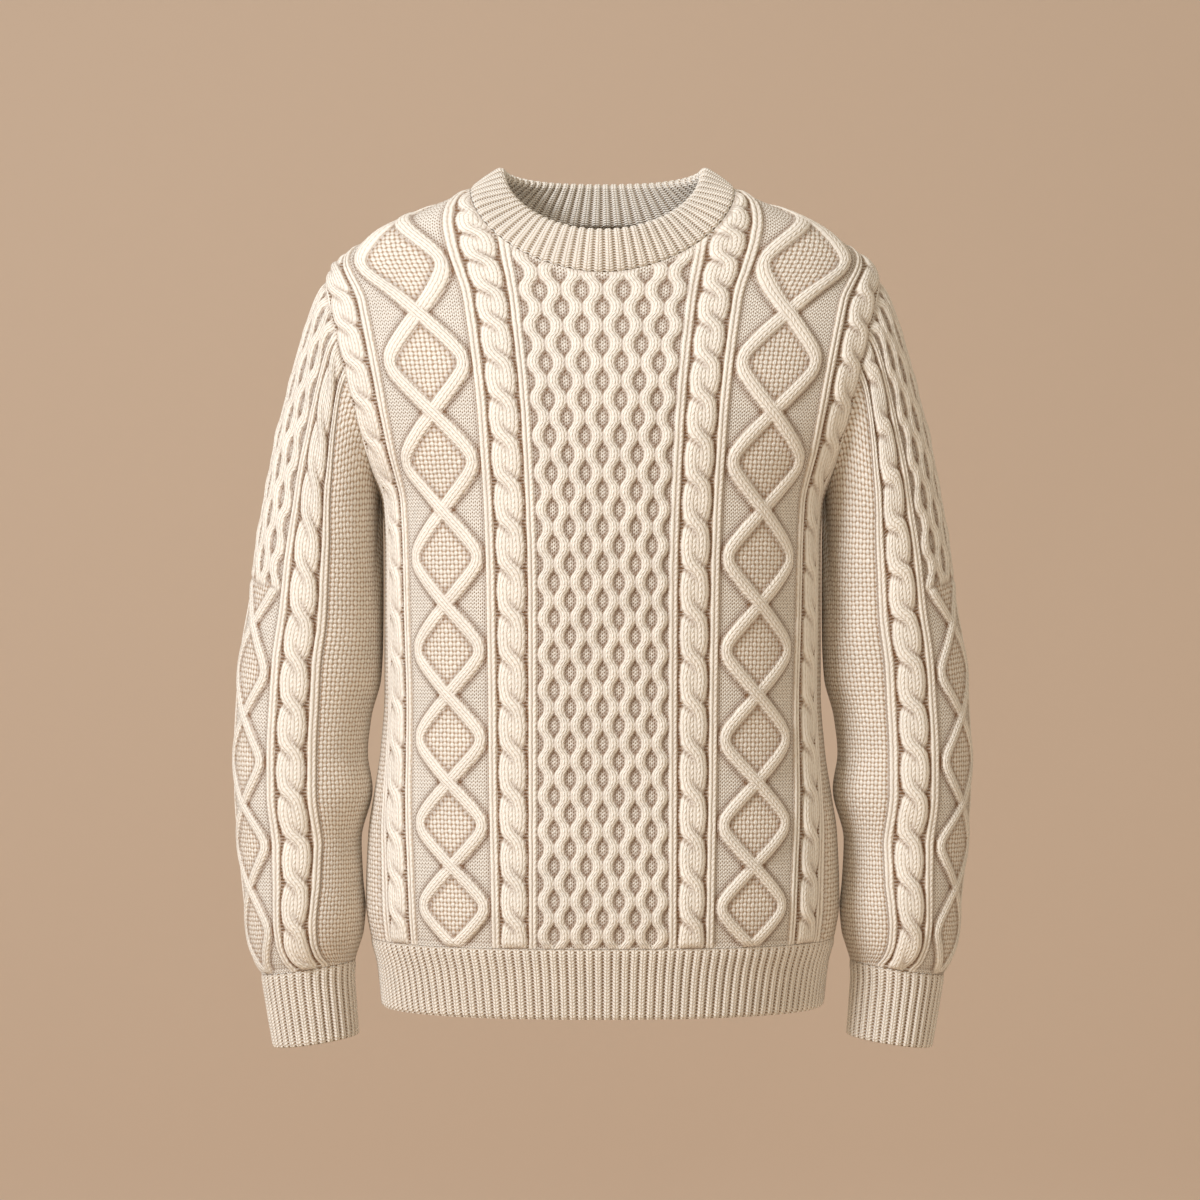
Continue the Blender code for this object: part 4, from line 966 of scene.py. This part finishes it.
# %% Moss stitch
def moss_height(tree, wale, course_):
    """Knit and purl stitches in turn, both ways: a tall block with two legs, then a low round one."""
    waves = [wave(tree, along, 0.5, "COSINE") for along in (wale, course_)]
    both = add(tree, "Math", {0: waves[0], 1: waves[1]}, operation="MULTIPLY")[0]
    steps = {"Value": both, "From Min": -0.25, "From Max": 0.25}
    is_knit = add(tree, "MapRange", steps, interpolation_type="SMOOTHSTEP")[0]
    dome = add(tree, "Math", {0: both}, operation="ABSOLUTE")[0]
    away = []
    for half_turn in waves:
        square = add(tree, "Math", {0: half_turn, 1: half_turn}, operation="MULTIPLY")[0]
        away.append(add(tree, "Math", {0: 1.0, 1: square}, operation="SUBTRACT")[0])
    # The pits lie where four stitches meet.
    pits = add(tree, "Math", {0: away[0], 1: away[1]}, operation="MULTIPLY")[0]
    block = add(tree, "Math", {0: pits, 1: -0.7, 2: 1.0}, operation="MULTIPLY_ADD")[0]
    legs = wave(tree, wale, 1, "SINE")
    legs = add(tree, "Math", {0: legs}, operation="ABSOLUTE")[0]
    legs = add(tree, "Math", {0: legs, 1: 0.3, 2: 0.7}, operation="MULTIPLY_ADD")[0]
    tall = add(tree, "Math", {0: dome, 1: 0.5, 2: 0.5}, operation="MULTIPLY_ADD")[0]
    tall = add(tree, "Math", {0: tall, 1: legs}, operation="MULTIPLY")[0]
    low = add(tree, "Math", {0: dome, 1: 0.26, 2: 0.27}, operation="MULTIPLY_ADD")[0]
    kind = add(tree, "Mix", {0: is_knit, 2: low, 3: tall}, data_type="FLOAT")[0]
    return add(tree, "Math", {0: kind, 1: block}, operation="MULTIPLY")[0]


# %% Wool, hand-knitted
# The cream is the wool's own colour; the brown is painted shade for the hollows beside the strands.
TIP, HOLLOW_SHADE = "#EEE7DA", "#7A522E"


def knitted_wool(name, stitch_height, relief, pit_shade, filled, looseness):
    """Undyed cream wool, with painted shade between the stitches and in the hollows."""
    material = bpy.data.materials.new(name)
    material.use_nodes = True
    tree = material.node_tree
    shader = tree.nodes["Principled BSDF"]
    place = add(tree, "TexCoord")["Object"]
    # No two stitches made by hand are alike, so the stitch map is pulled about a little.
    pull = add(tree, "TexNoise", {"Vector": place, "Scale": 160.0, "Detail": 1.0})["Color"]
    pull = add(tree, "VectorMath", {0: pull, 1: (0.5, 0.5, 0.5)}, operation="SUBTRACT")[0]
    counted = add(tree, "UVMap", uv_map="stitches")[0]
    pulled = {0: pull, 1: (looseness, looseness, 0.0), 2: counted}
    loose = add(tree, "VectorMath", pulled, operation="MULTIPLY_ADD")[0]
    split = add(tree, "SeparateXYZ", {0: loose})
    height = stitch_height(tree, split[0], split[1])
    # Fibres are 0.03 mm thick; they are drawn as 1 mm tufts so that they show.
    fuzz = add(tree, "TexNoise", {"Vector": place, "Scale": 900.0, "Detail": 3.0})["Fac"]
    uneven = add(tree, "TexNoise", {"Vector": place, "Scale": 40.0, "Detail": 2.0})["Fac"]
    raised = add(tree, "Math", {0: fuzz, 1: 0.25, 2: height}, operation="MULTIPLY_ADD")[0]
    bump = add(tree, "Bump", {"Height": raised, "Distance": relief * MM, "Strength": 1.0})[0]
    # Painted shade: the low parts of each stitch take the darker colour between the stitches.
    steps = {"Value": height, "From Min": 0.0, "From Max": filled}
    between = add(tree, "MapRange", steps, interpolation_type="SMOOTHSTEP")[0]
    yarn = add(tree, "Mix", {0: between, 6: linear(pit_shade), 7: linear(TIP)}, data_type="RGBA")[2]
    # Painted shade: the hollows are darkened towards brown.
    hollow_shade = add(tree, "Attribute", attribute_name="hollow_shade")["Fac"]
    shaded = add(tree, "Mix", {0: hollow_shade, 6: yarn, 7: linear(HOLLOW_SHADE)}, data_type="RGBA")[2]
    steps = {"Value": uneven, "From Min": 0.3, "From Max": 0.7, "To Min": 0.95, "To Max": 1.03}
    tone = add(tree, "MapRange", steps)[0]
    toned = add(tree, "HueSaturation", {"Color": shaded, "Value": tone})[0]
    tree.links.new(toned, shader.inputs["Base Color"])
    tree.links.new(bump, shader.inputs["Normal"])
    # The sheen stands for the halo of loose fibres, which catches light at grazing angles.
    sheen = {"Sheen Weight": 0.25, "Sheen Roughness": 0.5, "Sheen Tint": linear("#FFF6E6")}
    for socket, value in {"Roughness": 0.92, "Specular IOR Level": 0.2, **sheen}.items():
        shader.inputs[socket].default_value = value
    return material


# %% The five wools: relief in mm, painted shade between the stitches, where it ends, and unevenness
KNIT_WOOL = knitted_wool("worsted_wool_knit", knit_height, 0.85, "#C9B393", 0.7, 0.25)
RIB_WOOL = knitted_wool("worsted_wool_rib", rib_height, 1.1, "#BFA47F", 0.65, 0.15)
PURL_WOOL = knitted_wool("worsted_wool_purl", purl_height, 1.3, "#896843", 0.55, 0.3)
BAND_PURL_WOOL = knitted_wool("worsted_wool_rib_purl", purl_height, 1.2, "#9A7850", 0.55, 0.2)
MOSS_WOOL = knitted_wool("worsted_wool_moss", moss_height, 1.4, "#9A7852", 0.6, 0.45)
PANEL_WOOLS, RIB_WOOLS = (KNIT_WOOL, PURL_WOOL, MOSS_WOOL), (RIB_WOOL, BAND_PURL_WOOL)
print("materials:", [material.name for material in (*PANEL_WOOLS, *RIB_WOOLS)])

# %% [markdown]
# ## The front and back panels
#
# Columns are closest where the strands are finest, and rows are spaced by the length of cloth, so they
# stay even where a column bends over the shoulder. The relief sinks to nothing at the seams, as it
# does where the real panels are sewn together.


# %% Columns of the panels' grids
def spaced(stops):
    """Places from stop to stop; each stop gives a place and the spacing from there on."""
    places = [stops[0][0]]
    for (start, step), (end, _) in zip(stops, stops[1:]):
        count = max(1, round((end - start) / step))
        places += list(np.linspace(start, end, count + 1)[1:])
    return np.array(places)


HALF_PANEL = spaced([
    (0, 1.43), (51.5, 1.15), (60, 1.55), (86, 1.15), (94, 1.8),
    (166, 1.2), (178, 1.6), (203, 1.2), (212, 3.4), (SIDE_SEAM, 0),
])
PANEL_COLUMNS = np.concatenate([-HALF_PANEL[:0:-1], HALF_PANEL])
print("columns of a panel's grid:", len(PANEL_COLUMNS))

# %% Rows of the panels' grids
ROW = 2.2


def even_rows(columns, side):
    """Heights of the rows on each column, an even length of cloth apart up to the shoulder ridge."""
    surface = panel_surface(side)
    low = HEM_SEAM + SEAM_GAP / 2
    tops = np.minimum(np.interp(np.minimum(np.abs(columns), MOSS_START), *RIDGES[side]), TOP_ROW)
    closer = 1 - (1 - np.linspace(0, 1, 300)) ** 2
    part = np.concatenate([np.linspace(0, 0.8, 200)[:-1], 0.8 + 0.2 * closer])
    heights = low + part[:, None] * (tops - low)
    places, _ = surface(np.broadcast_to(columns, heights.shape), heights)
    steps = np.linalg.norm(np.diff(places, axis=0), axis=-1)
    length = np.concatenate([np.zeros((1, len(columns))), np.cumsum(steps, axis=0)])
    count = int(np.ceil(length[-1].max() / ROW))
    wanted = np.arange(count + 1) * ROW
    rows = [np.interp(wanted, length[:, j], heights[:, j]) for j in range(len(columns))]
    return np.stack(rows, axis=1)


# %% The two panels
def smooth(distance, width):
    t = np.clip(distance / width, 0, 1)
    return t * t * (3 - 2 * t)


SEAM_LIFT, EDGE_LIFT = 1.0, 1.0


def panel(name, side):
    surface = panel_surface(side)
    height = even_rows(PANEL_COLUMNS, side)
    across = np.broadcast_to(PANEL_COLUMNS, height.shape).copy()

    def keep(columns, rows):
        places, _ = surface(columns, rows)
        return np.minimum(armhole_distance(places) - SEAM_GAP / 2, neck_distance(places, side))

    def fade(places, rows):
        cut = smooth(armhole_distance(places), 3) * smooth(neck_distance(places, side), 7)
        return cut * smooth(np.abs(places[..., 1]) - SEAM_GAP / 2, 6)

    def trim(lift, columns, rows):
        up = smooth(rows - HEM_SEAM, 5)
        seam = np.minimum(SEAM_LIFT, lift + 1) * (1 - up)
        return lift * up + seam * smooth(SIDE_SEAM - np.abs(columns), 4)

    across, height, inside = snapped(across, height, keep)
    layout = body_layout()
    return cloth(name, across, height, surface, layout, fade, trim, side=inside, edge_lift=EDGE_LIFT)


front = panel("front_panel", FRONT)
back = panel("back_panel", BACK)

# %% [markdown]
# ## The sleeves
#
# A sleeve repeats the panel's patterns round the arm: a rib on top, a column of honeycomb that turns
# to diamonds on each side of it, a rope before and behind, and moss stitch on the inner side.

# %% Sleeves
SLEEVE_ROWS = 233
HALF_SLEEVE = spaced([(0, 1.2), (5, 1.6), (61, 1.2), (69, 1.6), (95, 1.2), (SLEEVE_MOSS, 0)])
INNER_SLEEVE = np.linspace(SLEEVE_MOSS, SLEEVE_ROUND - SLEEVE_MOSS, 45)
SLEEVE_COLUMNS_ACROSS = np.concatenate([-HALF_SLEEVE[:0:-1], HALF_SLEEVE, INNER_SLEEVE[1:]])


def sleeve(name, hand):
    low, high = CUFF_SEAM + SEAM_GAP / 2, ARMHOLE_HEIGHT - SEAM_GAP
    heights = np.linspace(low, high, SLEEVE_ROWS)
    across, height = np.meshgrid(SLEEVE_COLUMNS_ACROSS, heights)

    def fade(places, rows):
        return smooth(high - rows, 3.5)

    def trim(lift, columns, rows):
        up = smooth(rows - low, 5)
        return lift * up + SEAM_LIFT * (1 - up)

    surface, layout = sleeve_surface(hand), sleeve_layout(hand)
    tube = {"period": SLEEVE_ROUND, "edge_lift": EDGE_LIFT}
    return cloth(name, across, height, surface, layout, fade, trim, **tube)


sleeve_left = sleeve("left_sleeve", 1)
sleeve_right = sleeve("right_sleeve", -1)

# %% [markdown]
# ## Hem and cuff ribs
#
# Ribbing is one knit column and one purl column in turn. The knit ones spring forward and the purl
# ones sink, so the fabric pulls in like an accordion. The lower edge is the cast-on edge, which rolls
# inwards a little.

# %% The ribs' grids
HEM_RIBS, CUFF_RIBS, NECK_RIBS = 72, 33, 72
HEM_PITCH, CUFF_PITCH = 2 * SIDE_SEAM / HEM_RIBS, SLEEVE_ROUND / CUFF_RIBS
RIB_COLUMNS = 7
RIBBED = {"wools": RIB_WOOLS, "deep": 1.9}
print(f"rib pitch: {HEM_PITCH} mm at the hem, {CUFF_PITCH:.1f} mm at the cuffs before they draw in")


def rib_grid(start, end, ribs, bottom, top, rows):
    """Even columns, and rows that lie closer at the cast-on edge."""
    heights = np.concatenate([[bottom, bottom + 0.8], np.linspace(bottom + 2, top, rows)])
    return np.meshgrid(np.linspace(start, end, ribs * RIB_COLUMNS + 1), heights)


def edge_trim(top, bottom):
    def trim(lift, columns, rows):
        up = smooth(top - rows, 4)
        lift = lift * up + SEAM_LIFT * (1 - up)
        # The cast-on edge rolls inwards over its last two rows.
        return lift - 1.6 * (1 - smooth(rows - bottom, 3.5)) ** 2

    return trim


# %% The hem and the cuffs
def hem(name, side):
    top = HEM_SEAM - SEAM_GAP / 2
    across, height = rib_grid(-SIDE_SEAM, SIDE_SEAM, HEM_RIBS, HEM_EDGE, top, 24)
    layout = [(purl, 0.0, 260.0), (ribbing(HEM_PITCH), 0.0, 260.0)]

    def fade(places, rows):
        return smooth(np.abs(places[..., 1]) - SEAM_GAP / 2, 1.5)

    trim = edge_trim(top, HEM_EDGE)
    return cloth(name, across, height, hem_surface(side), layout, fade, trim, **RIBBED)


def cuff(name, hand):
    top = CUFF_SEAM - SEAM_GAP / 2
    across, height = rib_grid(0, SLEEVE_ROUND, CUFF_RIBS, CUFF_EDGE, top, 26)
    layout = [(purl, 180.0, 190.0), (ribbing(CUFF_PITCH), 0.0, 400.0)]
    trim, surface = edge_trim(top, CUFF_EDGE), cuff_surface(hand)

    def fade(places, rows):
        return np.ones(rows.shape)

    return cloth(name, across, height, surface, layout, fade, trim, period=SLEEVE_ROUND, **RIBBED)


hem_front = hem("front_hem_rib", FRONT)
hem_back = hem("back_hem_rib", BACK)
cuff_left = cuff("left_cuff_rib", 1)
cuff_right = cuff("right_cuff_rib", -1)

# %% [markdown]
# ## The neckband
#
# Its stitches are picked up round the neckline and ribbed. Then the band is folded inwards and slipped
# down inside, so it is a soft double roll. A closed section is carried round the neckline for it, and
# the ribs are raised on its outside, over the fold and down its inside.

# %% The neckline and the band's upper edge
BAND_TOP_HALF_WIDTH, BAND_TOP_SIDE, BAND_TOP_ROUND = 84.0, 18.0, 0.1
BAND_TOP_DEPTH = {FRONT: 84.0, BACK: 62.0}
BAND_TOP_DROP = {FRONT: 66.0, BACK: 9.0}
BAND_THICKNESS, NECK_LIFT = 6.4, 1.7
NECK_BASE_DEPTH = {side: float(torso_depth(0.0, -NECK_DROP[side], side)) for side in (FRONT, BACK)}
NECK_RIB_STEPS = 8
AROUND = NECK_RIBS * NECK_RIB_STEPS


def neck_curve():
    """The neckline all round, from the wearer's left by the front, at even steps."""
    quarter = np.linspace(0, math.pi / 2, 800)
    halves = []
    for side in (FRONT, BACK):
        power = 2 / NECK_SQUARENESS[side]
        x = NECK_HALF_WIDTH * np.abs(np.cos(quarter)) ** power
        z = -NECK_DROP[side] * np.abs(np.sin(quarter)) ** power
        left = np.stack([x, side * torso_depth(x, z, side), z], axis=1)
        halves.append(np.concatenate([left, (left * (-1, 1, 1))[::-1][1:]]))
    loop = np.concatenate([halves[0], halves[1][::-1][1:]])
    arc = np.concatenate([[0], np.cumsum(np.linalg.norm(np.diff(loop, axis=0), axis=1))])
    print("the neckline is", round(arc[-1]), "mm round")
    even = np.linspace(0, arc[-1], AROUND + 1)[:-1]
    return np.stack([np.interp(even, arc, loop[:, axis]) for axis in range(3)], axis=1)


def band_top(base):
    side = np.where(base[:, 1] < 0, FRONT, BACK)
    reach = np.where(side == FRONT, NECK_BASE_DEPTH[FRONT], NECK_BASE_DEPTH[BACK])
    turn = np.arctan2(np.abs(base[:, 1]) / reach, base[:, 0] / NECK_HALF_WIDTH)
    depth = np.where(side == FRONT, BAND_TOP_DEPTH[FRONT], BAND_TOP_DEPTH[BACK])
    drop = np.where(side == FRONT, BAND_TOP_DROP[FRONT], BAND_TOP_DROP[BACK])
    height = BAND_TOP_SIDE - drop * (np.hypot(np.sin(turn), BAND_TOP_ROUND) - BAND_TOP_ROUND)
    return np.stack([BAND_TOP_HALF_WIDTH * np.cos(turn), side * depth * np.sin(turn), height], axis=1)


def rounded(values, passes):
    """Evens out a closed row of vectors."""
    for _ in range(passes):
        values = (np.roll(values, 1, axis=0) + 2 * values + np.roll(values, -1, axis=0)) / 4
    return values


# %% The band's section and its directions
FOLD_START, BAND_FOOT, BAND_HEIGHT = 0.86, -0.13, 42.0


def band_section():
    """(up, out) points round the band's section: outside, fold, inside and the picked-up edge."""
    middle = BAND_THICKNESS / 2
    outside = [(part, 0.4 + 0.9 * math.sin(math.pi * part)) for part in np.linspace(0, FOLD_START, 13)]
    turn = np.linspace(0, math.pi, 11)[1:-1]
    fold = [(0.88 + 0.12 * math.sin(a), -middle + (middle + 0.7) * math.cos(a)) for a in turn]
    down = np.linspace(FOLD_START, BAND_FOOT, 14)
    inside = [(part, -BAND_THICKNESS - 0.5 + 1.9 * (1 - part / FOLD_START) ** 2) for part in down]
    return np.array(outside + fold + inside + [(BAND_FOOT, -3.3), (0.015, -3.1)])


def past_each(values):
    """From each point's last neighbour to its next, round a closed row."""
    return np.roll(values, -1, axis=0) - np.roll(values, 1, axis=0)


def facing_with(vectors, guide):
    """Unit vectors, turned to the guide's side."""
    vectors = unit(vectors)
    return vectors * np.sign(np.sum(vectors * guide, axis=1, keepdims=True))


def band_directions(base, top):
    """Unit vectors round the neckline: up the seam, out of the panels, out of the band and up it."""
    rise, run = top - base, past_each(base)
    middle = (base + top) / 2 - (base + top).mean(axis=0) / 2
    out = facing_with(np.cross(past_each(middle), rise), middle)
    off_seam = facing_with(np.stack([-run[:, 2], 0 * run[:, 1], run[:, 0]], axis=1), rise)
    cut_out = facing_with(np.cross(run, off_seam), out)
    return off_seam, rounded(cut_out, 8), rounded(out, 8), rounded(unit(rise), 8)


# %% The band
NECK_RIB_HALF, NECK_RIB_KNIT, NECK_RIB_SHOWN = 0.4, 0.32, 0.76


def neckband():
    base = neck_curve()
    top = band_top(base)
    off_seam, cut_out, out, up = band_directions(base, top)
    section = band_section()
    scaled = section * (BAND_HEIGHT, 1.0)
    tangent = past_each(scaled)
    facing = unit(np.stack([-tangent[:, 1], tangent[:, 0]], axis=1))
    length = np.concatenate([[0], np.cumsum(np.linalg.norm(np.diff(scaled, axis=0), axis=1))])
    # Ribs start and end a little way from the picked-up edge.
    ribbed = smooth(length, 5) * smooth(length[-3] - length, 4)
    phase = (np.arange(AROUND) % NECK_RIB_STEPS) / NECK_RIB_STEPS - 0.5
    profile = np.clip(1 - np.abs(phase / NECK_RIB_HALF) ** FLATNESS, 0, 1) ** 0.5
    loops = []
    for (part, across), (more_up, more_out), amount in zip(section, facing, ribbed):
        direction = unit(out * part + cut_out * (1 - part))
        lift = (profile * amount * NECK_LIFT)[:, None]
        plain = base + off_seam * SEAM_GAP + (top - base) * part + direction * across
        loops.append(plain + (up * more_up + direction * more_out) * lift)
    loops = np.stack(loops + loops[:1])
    loops = np.concatenate([loops, loops[:, :1]], axis=1)
    mesh, _ = grid_mesh(loops)
    bmesh.ops.remove_doubles(mesh, verts=mesh.verts, dist=MERGE)
    data = outwards("neckband_rib", mesh)
    around = np.arange(AROUND + 1) / NECK_RIB_STEPS
    total = length[-1] + np.linalg.norm(scaled[0] - scaled[-1])
    down = np.append(length, total)[:, None]
    # Painted shade, faint, in the valleys between the ribs.
    hollow_shade = np.clip(0.15 - np.append(profile, profile[0]), 0, 1)
    values = [np.broadcast_to(value, loops.shape[:2]) for value in (around, down, hollow_shade)]
    u, v, hollows = corner_values(data, "spot", values)
    starts, counts, face = face_table(data)
    u, v = unwrapped(u, starts, counts, NECK_RIBS), unwrapped(v, starts, counts, total)
    middle = np.add.reduceat(u, starts) / counts
    knit = np.abs(middle - np.floor(middle) - 0.5) < NECK_RIB_KNIT
    wale = 0.5 + (u - np.floor(middle[face]) - 0.5) / NECK_RIB_SHOWN
    wale = np.where(knit[face], wale, 0.0)
    kinds = np.where(knit, KNIT, PURL)
    return finished("neckband_rib", data, wale, v / RIB_COURSE, hollows, kinds, RIB_WOOLS)


band = neckband()

# %% [markdown]
# ## The pieces and the size they were knitted to
#
# Each piece is tied to the frame and hides the CAD piece it stands for. Its area is printed as a share
# of the size it was knitted to, because cloth hardly stretches once it is worn. Tubes are counted as
# their girth by their length.


# %% Tie every piece to the frame
def area_of(piece):
    """Half the surface of the closed shell in square metres, which is about one layer of cloth."""
    areas = np.zeros(len(piece.data.polygons))
    piece.data.polygons.foreach_get("area", areas)
    return areas.sum() / 2


PIECES = (
    (front, "front", "front", (0.504, 0.66), 0.275),
    (back, "back", "back", (0.504, 0.69), 0.295),
    (sleeve_left, "sleeve_left", "sleeves", (0.36, 0.56), 0.165),
    (sleeve_right, "sleeve_right", "sleeves", (0.36, 0.56), 0.165),
    (band, "neckband", "neckband", (0.52, 0.048), None),
    (hem_front, "hem_front", "hem_front", (0.504, 0.057), None),
    (hem_back, "hem_back", "hem_back", (0.504, 0.057), None),
    (cuff_left, "cuff_left", "cuffs", (0.225, 0.062), None),
    (cuff_right, "cuff_right", "cuffs", (0.225, 0.062), None),
)
for piece, node, slot, flat, area in PIECES:
    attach(piece, "root")
    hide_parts(node)
    cut = area or flat[0] * flat[1]
    layer = area_of(piece)
    print(f"{piece.name}: one layer {layer:.4f} square metres, {layer / cut:.2f} of its cut")

# %% [markdown]
# ## Studio
#
# The sweater floats before a seamless warm paper sweep, which is floor and wall in one, so there is
# no line behind it. A large soft light from the upper left models the strands, a wide one in front
# and the pale surroundings fill the shadows, and a low one behind lights the back.

# %% Paper sweep, in metres
SWEEP_LEFT, SWEEP_NEAR, SWEEP_BEND, FLOOR, BEND_RADIUS = -6, -6, 2.7, -1.9, 0.6
sweep = bmesh.new()
corner = [sweep.verts.new((SWEEP_LEFT, y, FLOOR)) for y in (SWEEP_NEAR, SWEEP_BEND)]
sweep.edges.new(corner)
centre = (SWEEP_LEFT, SWEEP_BEND, FLOOR + BEND_RADIUS)
bend = bmesh.ops.spin(
    sweep, geom=[corner[1]], axis=(1, 0, 0), cent=centre, dvec=(0, 0, 0), angle=math.pi / 2, steps=24
)
last = [item for item in bend["geom_last"] if isinstance(item, bmesh.types.BMVert)]
top = bmesh.ops.extrude_vert_indiv(sweep, verts=last)["verts"]
bmesh.ops.translate(sweep, verts=top, vec=(0, 0, 4))
wide = bmesh.ops.extrude_edge_only(sweep, edges=sweep.edges[:])["geom"]
far = [item for item in wide if isinstance(item, bmesh.types.BMVert)]
bmesh.ops.translate(sweep, verts=far, vec=(-2 * SWEEP_LEFT, 0, 0))
bmesh.ops.recalc_face_normals(sweep, faces=sweep.faces)
sweep_data = bpy.data.meshes.new("paper_sweep")
sweep.to_mesh(sweep_data)
sweep.free()
sweep_data.polygons.foreach_set("use_smooth", np.ones(len(sweep_data.polygons), bool))
# Uncoated card: warm, and without any gloss, so that the wall and the floor look alike.
paper = bpy.data.materials.new("matt_background_paper")
paper.use_nodes = True
card = {"Base Color": linear("#D8C4AF"), "Roughness": 0.95, "Specular IOR Level": 0.1}
for socket, value in card.items():
    paper.node_tree.nodes["Principled BSDF"].inputs[socket].default_value = value
sweep_data.materials.append(paper)
backdrop = bpy.data.objects.new("paper_sweep", sweep_data)
bpy.context.scene.collection.objects.link(backdrop)
print("faces of the sweep:", len(sweep_data.polygons))


# %% Lights
def soft_light(name, place, size, power, colour):
    light = bpy.data.lights.new(name, "AREA")
    light.size = size
    light.energy = power
    light.color = linear(colour)[:3]
    lamp = bpy.data.objects.new(name, light)
    lamp.location = place
    away = Vector(place) - Vector((0, 0, -0.35))
    lamp.rotation_euler = away.to_track_quat("Z", "Y").to_euler()
    bpy.context.scene.collection.objects.link(lamp)
    print(f"{name} light: {power} W over {size} m")


soft_light("key", (-2.45, -2.3, 1.6), 1.1, 134, "#F1F5FF")
soft_light("fill", (0.5, -3.4, 0.6), 2.0, 28, "#FFF8EE")
# Low behind the sweater, so that its back is lit too and its outline from the front isn't.
soft_light("back", (-0.8, 2.8, 0.1), 1.2, 28, "#FFF8EE")
world = bpy.context.scene.world or bpy.data.worlds.new("studio")
bpy.context.scene.world = world
world.use_nodes = True
world.node_tree.nodes["Background"].inputs["Color"].default_value = linear("#F5E5D0")
world.node_tree.nodes["Background"].inputs["Strength"].default_value = 0.5
# Plain colours, without a film-like curve, keep cream wool cream.
bpy.context.scene.view_settings.view_transform = "Standard"


# %% Camera
lens = bpy.data.cameras.new("camera")
lens.sensor_width = 36.0
lens.lens = 108.4
camera = bpy.data.objects.new("camera", lens)
camera.location = (-0.0022, -3.0, -0.3403)
camera.rotation_euler = (math.pi / 2, 0, 0)
bpy.context.scene.collection.objects.link(camera)
bpy.context.scene.camera = camera
print("camera:", round(-camera.location.y, 2), "m in front, lens", lens.lens, "mm")
